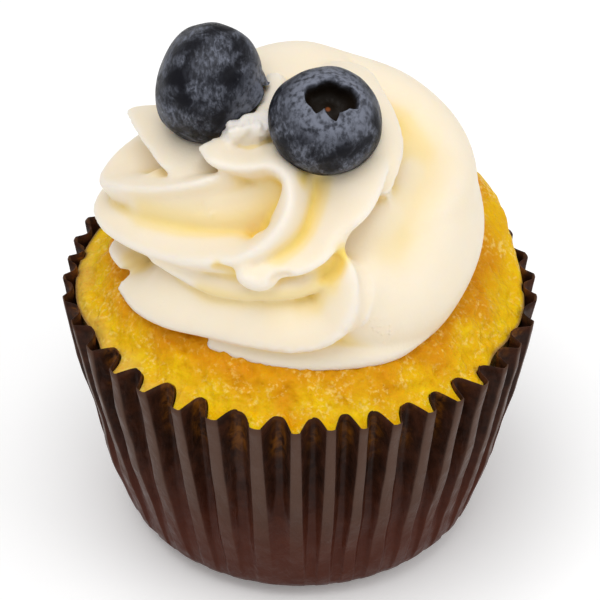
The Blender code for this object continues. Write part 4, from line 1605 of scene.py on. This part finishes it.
# This touch smooths the bowl and also paints a little golden shade into it.
BOWL = Touch(((197, 23.5, 57.6), (207, 20.4, 59.1), (218, 17.7, 60.1), (231, 14.3, 61.0), (243, 11.6, 62.0)),
             2.6, soft=0.9, shade_tint=0.12)
CRINKLED_HEM = Touch(((254, 26.0, 45.6), (268, 26.6, 46.2), (278, 27.0, 47.4), (283, 27.0, 49.8)), 1.0,
                     rough_mm=0.05)
RAGGED_END = Touch(((328, 17.2, 63.4), (319, 17.8, 61.6)), 1.8, soft=0.5, rough_mm=0.07)
POCKS = Touch(((219, 17.7, 59.9), (223, 17.3, 59.7)), 0.8, rough_mm=0.10)
BUBBLES = Touch(((291, 24.4, 50.4), (294, 25.1, 48.6), (298, 25.8, 46.6)), 1.9, rough_mm=0.03)
CURL_SIDE = Touch(((263, 23.8, 56.7), (265, 23.9, 56.9)), 1.1, soft=1.0, press_mm=0.12)
# Painted shade: the touches from here down to the list paint golden shade into pockets, grooves and shaded
# faces; the two pockets are pressed in too, the one at the curds' foot takes the shade away, and one paints
# the shade beside the berry.
RIGHT_POCKET = Touch(((286, 20.8, 58.5), (284, 21.4, 57.7), (282, 21.8, 56.9), (279, 22.1, 56.2)), 1.2,
                     press_mm=1.4, shade_tint=1.0)
LEFT_POCKET = Touch(((242, 23.7, 56.9), (244, 23.4, 56.6), (247, 22.9, 56.2)), 0.85, press_mm=0.9, shade_tint=0.9)
HAIRPIN_GROOVE_SHADE = Touch(((201, 23.0, 56.5), (210, 21.2, 56.9), (218, 19.4, 57.3), (229, 17.2, 57.8),
                        (240, 14.6, 58.5), (250, 12.8, 59.6), (257, 13.4, 61.6)), 2.0, shade_tint=0.36)
CURL_GROOVE_SHADE = Touch(((285, 11.6, 64.2), (281, 13.2, 62.5), (274, 16.1, 60.5), (268, 18.3, 59.6),
                     (262, 20.9, 58.6)), 1.5, shade_tint=0.42)
BAND_FACE_SHADE = Touch(((236, 24.6, 52.0), (250, 24.0, 52.2), (262, 23.5, 53.0), (272, 23.4, 54.0),
                   (279, 23.0, 55.4)), 1.7, shade_tint=0.38)
CURD_FOOT_UNSHADED = Touch(((211, 11.6, 67.4), (222, 9.8, 67.6), (234, 8.8, 67.8)), 1.3, shade_tint=-0.8)
BERRY_SHADE = Touch(((270, 8.9, 65.5), (272, 10.5, 65.6), (272, 12.5, 65.6)), 1.2, shade_tint=0.7)
FIN_HOLLOW_SHADE = Touch(((178, 20.6, 58.2), (184, 19.8, 59.4), (190, 19.0, 60.4)), 1.8, shade_tint=0.3)
SCRAP_HOLLOW_SHADE = Touch(((196, 24.6, 47.4), (200, 23.0, 47.8)), 1.7, shade_tint=0.55)
PETAL_HOLLOW_SHADE = Touch(((262, 23.8, 50.0), (270, 23.6, 50.4), (279, 22.9, 52.6), (286, 21.8, 55.4)), 2.6,
                     shade_tint=0.1)
TOUCHES = (COIL_SEAM, COIL_VALLEY, VALLEY_FOOT, PETAL_SIDE, CROWN_NOTCH, BOWL, CRINKLED_HEM, RAGGED_END,
           POCKS, BUBBLES, CURL_SIDE, RIGHT_POCKET, LEFT_POCKET, HAIRPIN_GROOVE_SHADE, CURL_GROOVE_SHADE, BAND_FACE_SHADE,
           CURD_FOOT_UNSHADED, BERRY_SHADE, FIN_HOLLOW_SHADE, SCRAP_HOLLOW_SHADE, PETAL_HOLLOW_SHADE)


@dataclass(frozen=True)
class Frosting:
    """The cream: a heart with ridges piped round it, grown together and smoothed, and a curdled scrap.

    The curds are small balls strewn about a curve, and larger ones along bed_mm, a curve through
    (x, y, z), carry them; grown together with the rest they make soft lumps. A point's cavity is how
    far the skin, smoothed even_steps or broad_steps times, passes outside it; the pairs hollow_mm,
    broad_mm and lip_mm say at which cavity a painted value starts and where it is complete, and
    curd_reach and bubble_reach say the same of the touches' shares. The hollows' painted shade is
    golden, for the light that bounces and scatters in them.
    """

    cake: SpongeCake
    berries: tuple[Berry, ...]
    folds: tuple[Fold, ...] = FOLDS
    touches: tuple[Touch, ...] = TOUCHES
    heart_mm: Table = ((19.0, 40.0), (19.5, 46.0), (18.0, 52.0), (15.5, 58.0), (13.4, 62.0), (11.9, 65.4),
                       (6.5, 67.6))
    heart_offset_mm: Triple = (1.0, 2.0, 0.0)
    heart_sides: int = 72
    heart_rows: int = 40
    fold_samples: int = 90
    fold_sides: int = 36
    section_arc: float = math.radians(115.0)
    voxel_mm: float = 0.37
    smoothing: int = 5
    sink_mm: float = 0.35
    seat_gap_mm: float = 0.04
    curds: Touch = Touch(((208, 10.6, 68.6), (212, 8.9, 69.1), (219, 7.6, 69.4), (228, 7.0, 69.6)), 2.0,
                         rough_mm=0.15)
    curd_count: int = 130
    curd_spread_mm: Triple = (0.9, 1.5, 0.7)
    curd_radii_mm: Span = (0.35, 0.7)
    bed_mm: Route = ((-9.2, -4.3, 67.2), (-6.6, -4.4, 67.9), (-5.2, -3.4, 68.6), (-4.4, -1.0, 69.0),
                     (-3.9, 1.6, 69.2), (-3.6, 5.0, 69.4))
    bed_radius_mm: float = 1.9
    bed_count: int = 16
    ball_sides: int = 20
    ball_rows: int = 12
    crinkles: Layers = ((Waves(71, 1.9, 30), 0.7), (Waves(72, 1.1, 30), 0.5))
    smooth_share: float = 0.7
    even_steps: int = 140
    near_steps: int = 16
    broad_steps: int = 420
    hollow_mm: Span = (-0.05, 1.6)
    broad_mm: Span = (0.2, 2.6)
    broad_share: float = 0.5
    lip_mm: Span = (-0.04, -0.20)
    curd_reach: Span = (0.25, 0.6)
    bubble_reach: Span = (0.2, 0.8)
    seed: int = 41

    def heart(self) -> Surface:
        """Make the mound under the ridges, a smooth profile turned about the upright.

        Returns:
            The mound.
        """
        azimuth = np.arange(self.heart_sides) * 360.0 / self.heart_sides
        radius, height = smooth_profile(self.heart_mm, self.heart_rows)
        rings = polar(azimuth, radius[:, None] * MM, height[:, None] * MM)
        return Surface.closed(rings + np.array(self.heart_offset_mm) * MM)

    def ball(self, middle_mm: np.ndarray, radius_mm: float) -> Surface:
        """Make a small ball.

        Args:
            middle_mm: its middle.
            radius_mm: its radius.

        Returns:
            The ball.
        """
        turn = np.linspace(0.0, 2.0 * math.pi, self.ball_sides, endpoint=False)
        rise = np.linspace(-math.pi / 2, math.pi / 2, self.ball_rows)[1:-1, None]
        rings = np.stack([np.cos(rise) * np.cos(turn), np.cos(rise) * np.sin(turn),
                          np.sin(rise) * np.ones(turn.shape)], axis=-1)
        return Surface.closed((rings * radius_mm + middle_mm) * MM)

    def scrap(self) -> list[Surface]:
        """Make the curds, strewn about their curve, and the bed of larger balls under and behind them.

        Returns:
            The balls.
        """
        draw = np.random.default_rng(self.seed)
        curve = polar(*np.array(self.curds.stops).T)
        line = spline(curve, draw.uniform(0.0, 1.0, self.curd_count))
        middles = line + draw.uniform(-1.0, 1.0, line.shape) * np.array(self.curd_spread_mm)
        balls = [self.ball(middle, draw.uniform(*self.curd_radii_mm)) for middle in middles]
        bed = spline(np.array(self.bed_mm), np.linspace(0.0, 1.0, self.bed_count))
        return balls + [self.ball(middle, self.bed_radius_mm) for middle in bed]

    def grown(self) -> bpy.types.Mesh:
        """Grow heart, ridges and scrap into one skin of small even faces.

        Returns:
            The skin.
        """
        ridges = [fold.surface(self.fold_samples, self.fold_sides, self.section_arc) for fold in self.folds]
        whole = Surface.merged([self.heart(), *ridges, *self.scrap()])
        item = bpy.data.objects.new("cream_core", whole.mesh("cream_core"))
        bpy.context.scene.collection.objects.link(item)
        skin = item.modifiers.new("skin", "REMESH")
        skin.mode = "VOXEL"
        skin.voxel_size = self.voxel_mm * MM
        graph = bpy.context.evaluated_depsgraph_get()
        mesh = bpy.data.meshes.new_from_object(item.evaluated_get(graph))
        bpy.data.objects.remove(item, do_unlink=True)
        return mesh

    def seated(self, points: np.ndarray) -> np.ndarray:
        """Keep points out of the berries, and no lower than a little under the cake's dome.

        Args:
            points: (n, 3) places in metres.

        Returns:
            All the points, moved or not.
        """
        floor = self.cake.height_over(points) - self.sink_mm * MM
        points = points.copy()
        points[:, 2] = np.maximum(points[:, 2], floor)
        for berry in self.berries:
            points = berry.pushed_out(points, self.seat_gap_mm)
        return points

    def normals(self, mesh: bpy.types.Mesh, points: np.ndarray) -> np.ndarray:
        """Move a mesh's points and read its normals there.

        Args:
            mesh: the mesh, which is moved.
            points: its points' new places, (n, 3).

        Returns:
            The normals, (n, 3).
        """
        mesh.vertices.foreach_set("co", points.ravel())
        mesh.update()
        normals = np.empty(points.size)
        mesh.vertex_normals.foreach_get("vector", normals)
        return normals.reshape(-1, 3)

    def touched(self, mesh: bpy.types.Mesh, net: Net, points: np.ndarray) -> np.ndarray:
        """Put every touch on the skin: first it is smoothed, then pushed in and crinkled.

        Args:
            mesh: the skin's mesh, which is moved.
            net: its net.
            points: its points, (n, 3).

        Returns:
            The touched points.
        """
        even = net.relax(points, self.even_steps, self.smooth_share)
        touches = (*self.touches, self.curds)
        weights = [touch.weight(points) for touch in touches]
        for touch, weight in zip(touches, weights):
            points = points + (even - points) * (touch.soft * weight)[:, None]
        crinkle = layered(self.crinkles, points)
        lift = sum(weight * (touch.rough_mm * crinkle - touch.press_mm)
                   for touch, weight in zip(touches, weights))
        return points + self.normals(mesh, points) * lift[:, None] * MM

    def cavity_mm(self, net: Net, points: np.ndarray, normals: np.ndarray, steps: int) -> np.ndarray:
        """Return how far the skin, smoothed so many times, passes outside its points."""
        return ((net.relax(points, steps, self.smooth_share) - points) * normals).sum(axis=1) / MM

    def surface(self) -> Surface:
        """Make the cream, with its painted hollows' shade and its lip, curd and bubbly values.

        Returns:
            The surface.
        """
        mesh = self.grown()
        net = Net.of(mesh)
        points = np.empty(3 * net.count)
        mesh.vertices.foreach_get("co", points)
        points = net.relax(points.reshape(-1, 3), self.smoothing)
        points = self.seated(self.touched(mesh, net, points))
        normals = self.normals(mesh, points)
        wide, near, broad = (self.cavity_mm(net, points, normals, steps)
                             for steps in (self.even_steps, self.near_steps, self.broad_steps))
        surface = Surface(points, [tuple(face.vertices) for face in mesh.polygons])
        # Painted shade: the hollows' golden shade grows with the cavity, and the touches add to it or take it
        # away.
        shade_tint = sum(touch.shade_tint * touch.weight(points) for touch in self.touches if touch.shade_tint)
        cavity = np.maximum(ease(wide, *self.hollow_mm), self.broad_share * ease(broad, *self.broad_mm))
        surface.paint["hollow_shade"] = np.clip(cavity + shade_tint * (1.0 - cavity), 0.0, 1.0)
        surface.paint["lip"] = ease(near, *self.lip_mm)
        surface.paint["curd"] = ease(self.curds.weight(points), *self.curd_reach)
        surface.paint["bubbly"] = ease(BUBBLES.weight(points), *self.bubble_reach)
        bpy.data.meshes.remove(mesh)
        return surface

    def build(self) -> bpy.types.Object:
        """Make the frosting."""
        return self.surface().piece("piped_cream", Slot.CREAM, CreamFinish().material(), "frosting")


# ---- Studio ----


@dataclass(frozen=True)
class Lamp:
    """A soft box: a white area light aimed at the middle of the cupcake."""

    name: str
    place: Triple
    size: float
    watts: float


@dataclass(frozen=True)
class Studio:
    """The pale floor, the soft light all round and the camera at the photo's angle."""

    aim: Triple = (0.0, 0.0, 0.0352)
    camera_place: Triple = (0.0, -0.39438, 0.33735)
    lens_mm: float = 204.57
    shift_x: float = -0.0005
    floor_size: float = 6.0
    sky: float = 0.57
    lamps: tuple[Lamp, ...] = (
        Lamp("overhead_box", (-0.10, -0.15, 0.75), 0.6, 2.8),
        Lamp("right_box", (0.60, -0.25, 0.45), 0.5, 1.0),
    )

    def aimed(self, item: bpy.types.Object, place: Triple) -> None:
        """Put an object at a place and turn its -Z towards the aim.

        Args:
            item: the object, which isn't in the scene yet.
            place: where it goes, in metres.
        """
        item.location = place
        item.rotation_euler = (Vector(self.aim) - Vector(place)).to_track_quat("-Z", "Y").to_euler()
        bpy.context.scene.collection.objects.link(item)

    def floor(self) -> None:
        """Make the floor, which isn't part of the cupcake."""
        half = self.floor_size / 2
        mesh = bpy.data.meshes.new("studio_floor")
        mesh.from_pydata([(-half, -half, 0.0), (half, -half, 0.0), (half, half, 0.0), (-half, half, 0.0)],
                         [], [(0, 1, 2, 3)])
        item = bpy.data.objects.new("studio_floor", mesh)
        bpy.context.scene.collection.objects.link(item)
        shader = Shader("pale_floor")
        shader.constants(Roughness=0.7, Specular_IOR_Level=0.2, Emission_Color=(1.0, 1.0, 1.0, 1.0),
                         Emission_Strength=0.15)
        shade = shader.graded(shader.noise(size_mm=60.0, detail=2.0), 0.3, 0.7)
        shader.feed("Base Color", shader.blend(shade, (0.95, 0.95, 0.95), (0.97, 0.97, 0.97)))
        mesh.materials.append(shader.material)

    def light(self) -> None:
        """Light the scene evenly from the sky, with soft boxes over it."""
        world = bpy.data.worlds.new("studio")
        world.use_nodes = True
        backdrop = world.node_tree.nodes["Background"]
        backdrop.inputs["Color"].default_value = (1.0, 1.0, 1.0, 1.0)
        backdrop.inputs["Strength"].default_value = self.sky
        bpy.context.scene.world = world
        for lamp in self.lamps:
            data = bpy.data.lights.new(lamp.name, "AREA")
            data.size = lamp.size
            data.energy = lamp.watts
            self.aimed(bpy.data.objects.new(lamp.name, data), lamp.place)

    def camera(self) -> None:
        """Set up the camera at the photo's viewing angle."""
        data = bpy.data.cameras.new("photo_camera")
        data.lens = self.lens_mm
        data.shift_x = self.shift_x
        data.clip_start = 0.01
        item = bpy.data.objects.new("photo_camera", data)
        self.aimed(item, self.camera_place)
        bpy.context.scene.camera = item

    def build(self) -> None:
        """Make the whole studio."""
        bpy.context.scene.view_settings.view_transform = "Standard"
        self.floor()
        self.light()
        self.camera()


def triangles(item: bpy.types.Object) -> int:
    """Count an object's triangles once its modifiers have run.

    Args:
        item: the object.

    Returns:
        How many there are.
    """
    shape = item.evaluated_get(bpy.context.evaluated_depsgraph_get()).data
    shape.calc_loop_triangles()
    return len(shape.loop_triangles)


def main() -> None:
    """Dress the cupcake, piece by piece, and set up the studio round it."""
    logging.basicConfig(level=logging.INFO, format="%(name)s: %(message)s")
    studio = Studio()
    studio.build()
    case = PaperCase()
    cake = SpongeCake(case)
    skin = SkinFinish().material()
    pieces = [case.build(), cake.build(), Frosting(cake, BERRIES).build()]
    pieces += [berry.build(skin) for berry in BERRIES]
    for piece in pieces:
        LOG.info("%s has %d triangles", piece.name, triangles(piece))


if __name__ == "__main__":
    main()
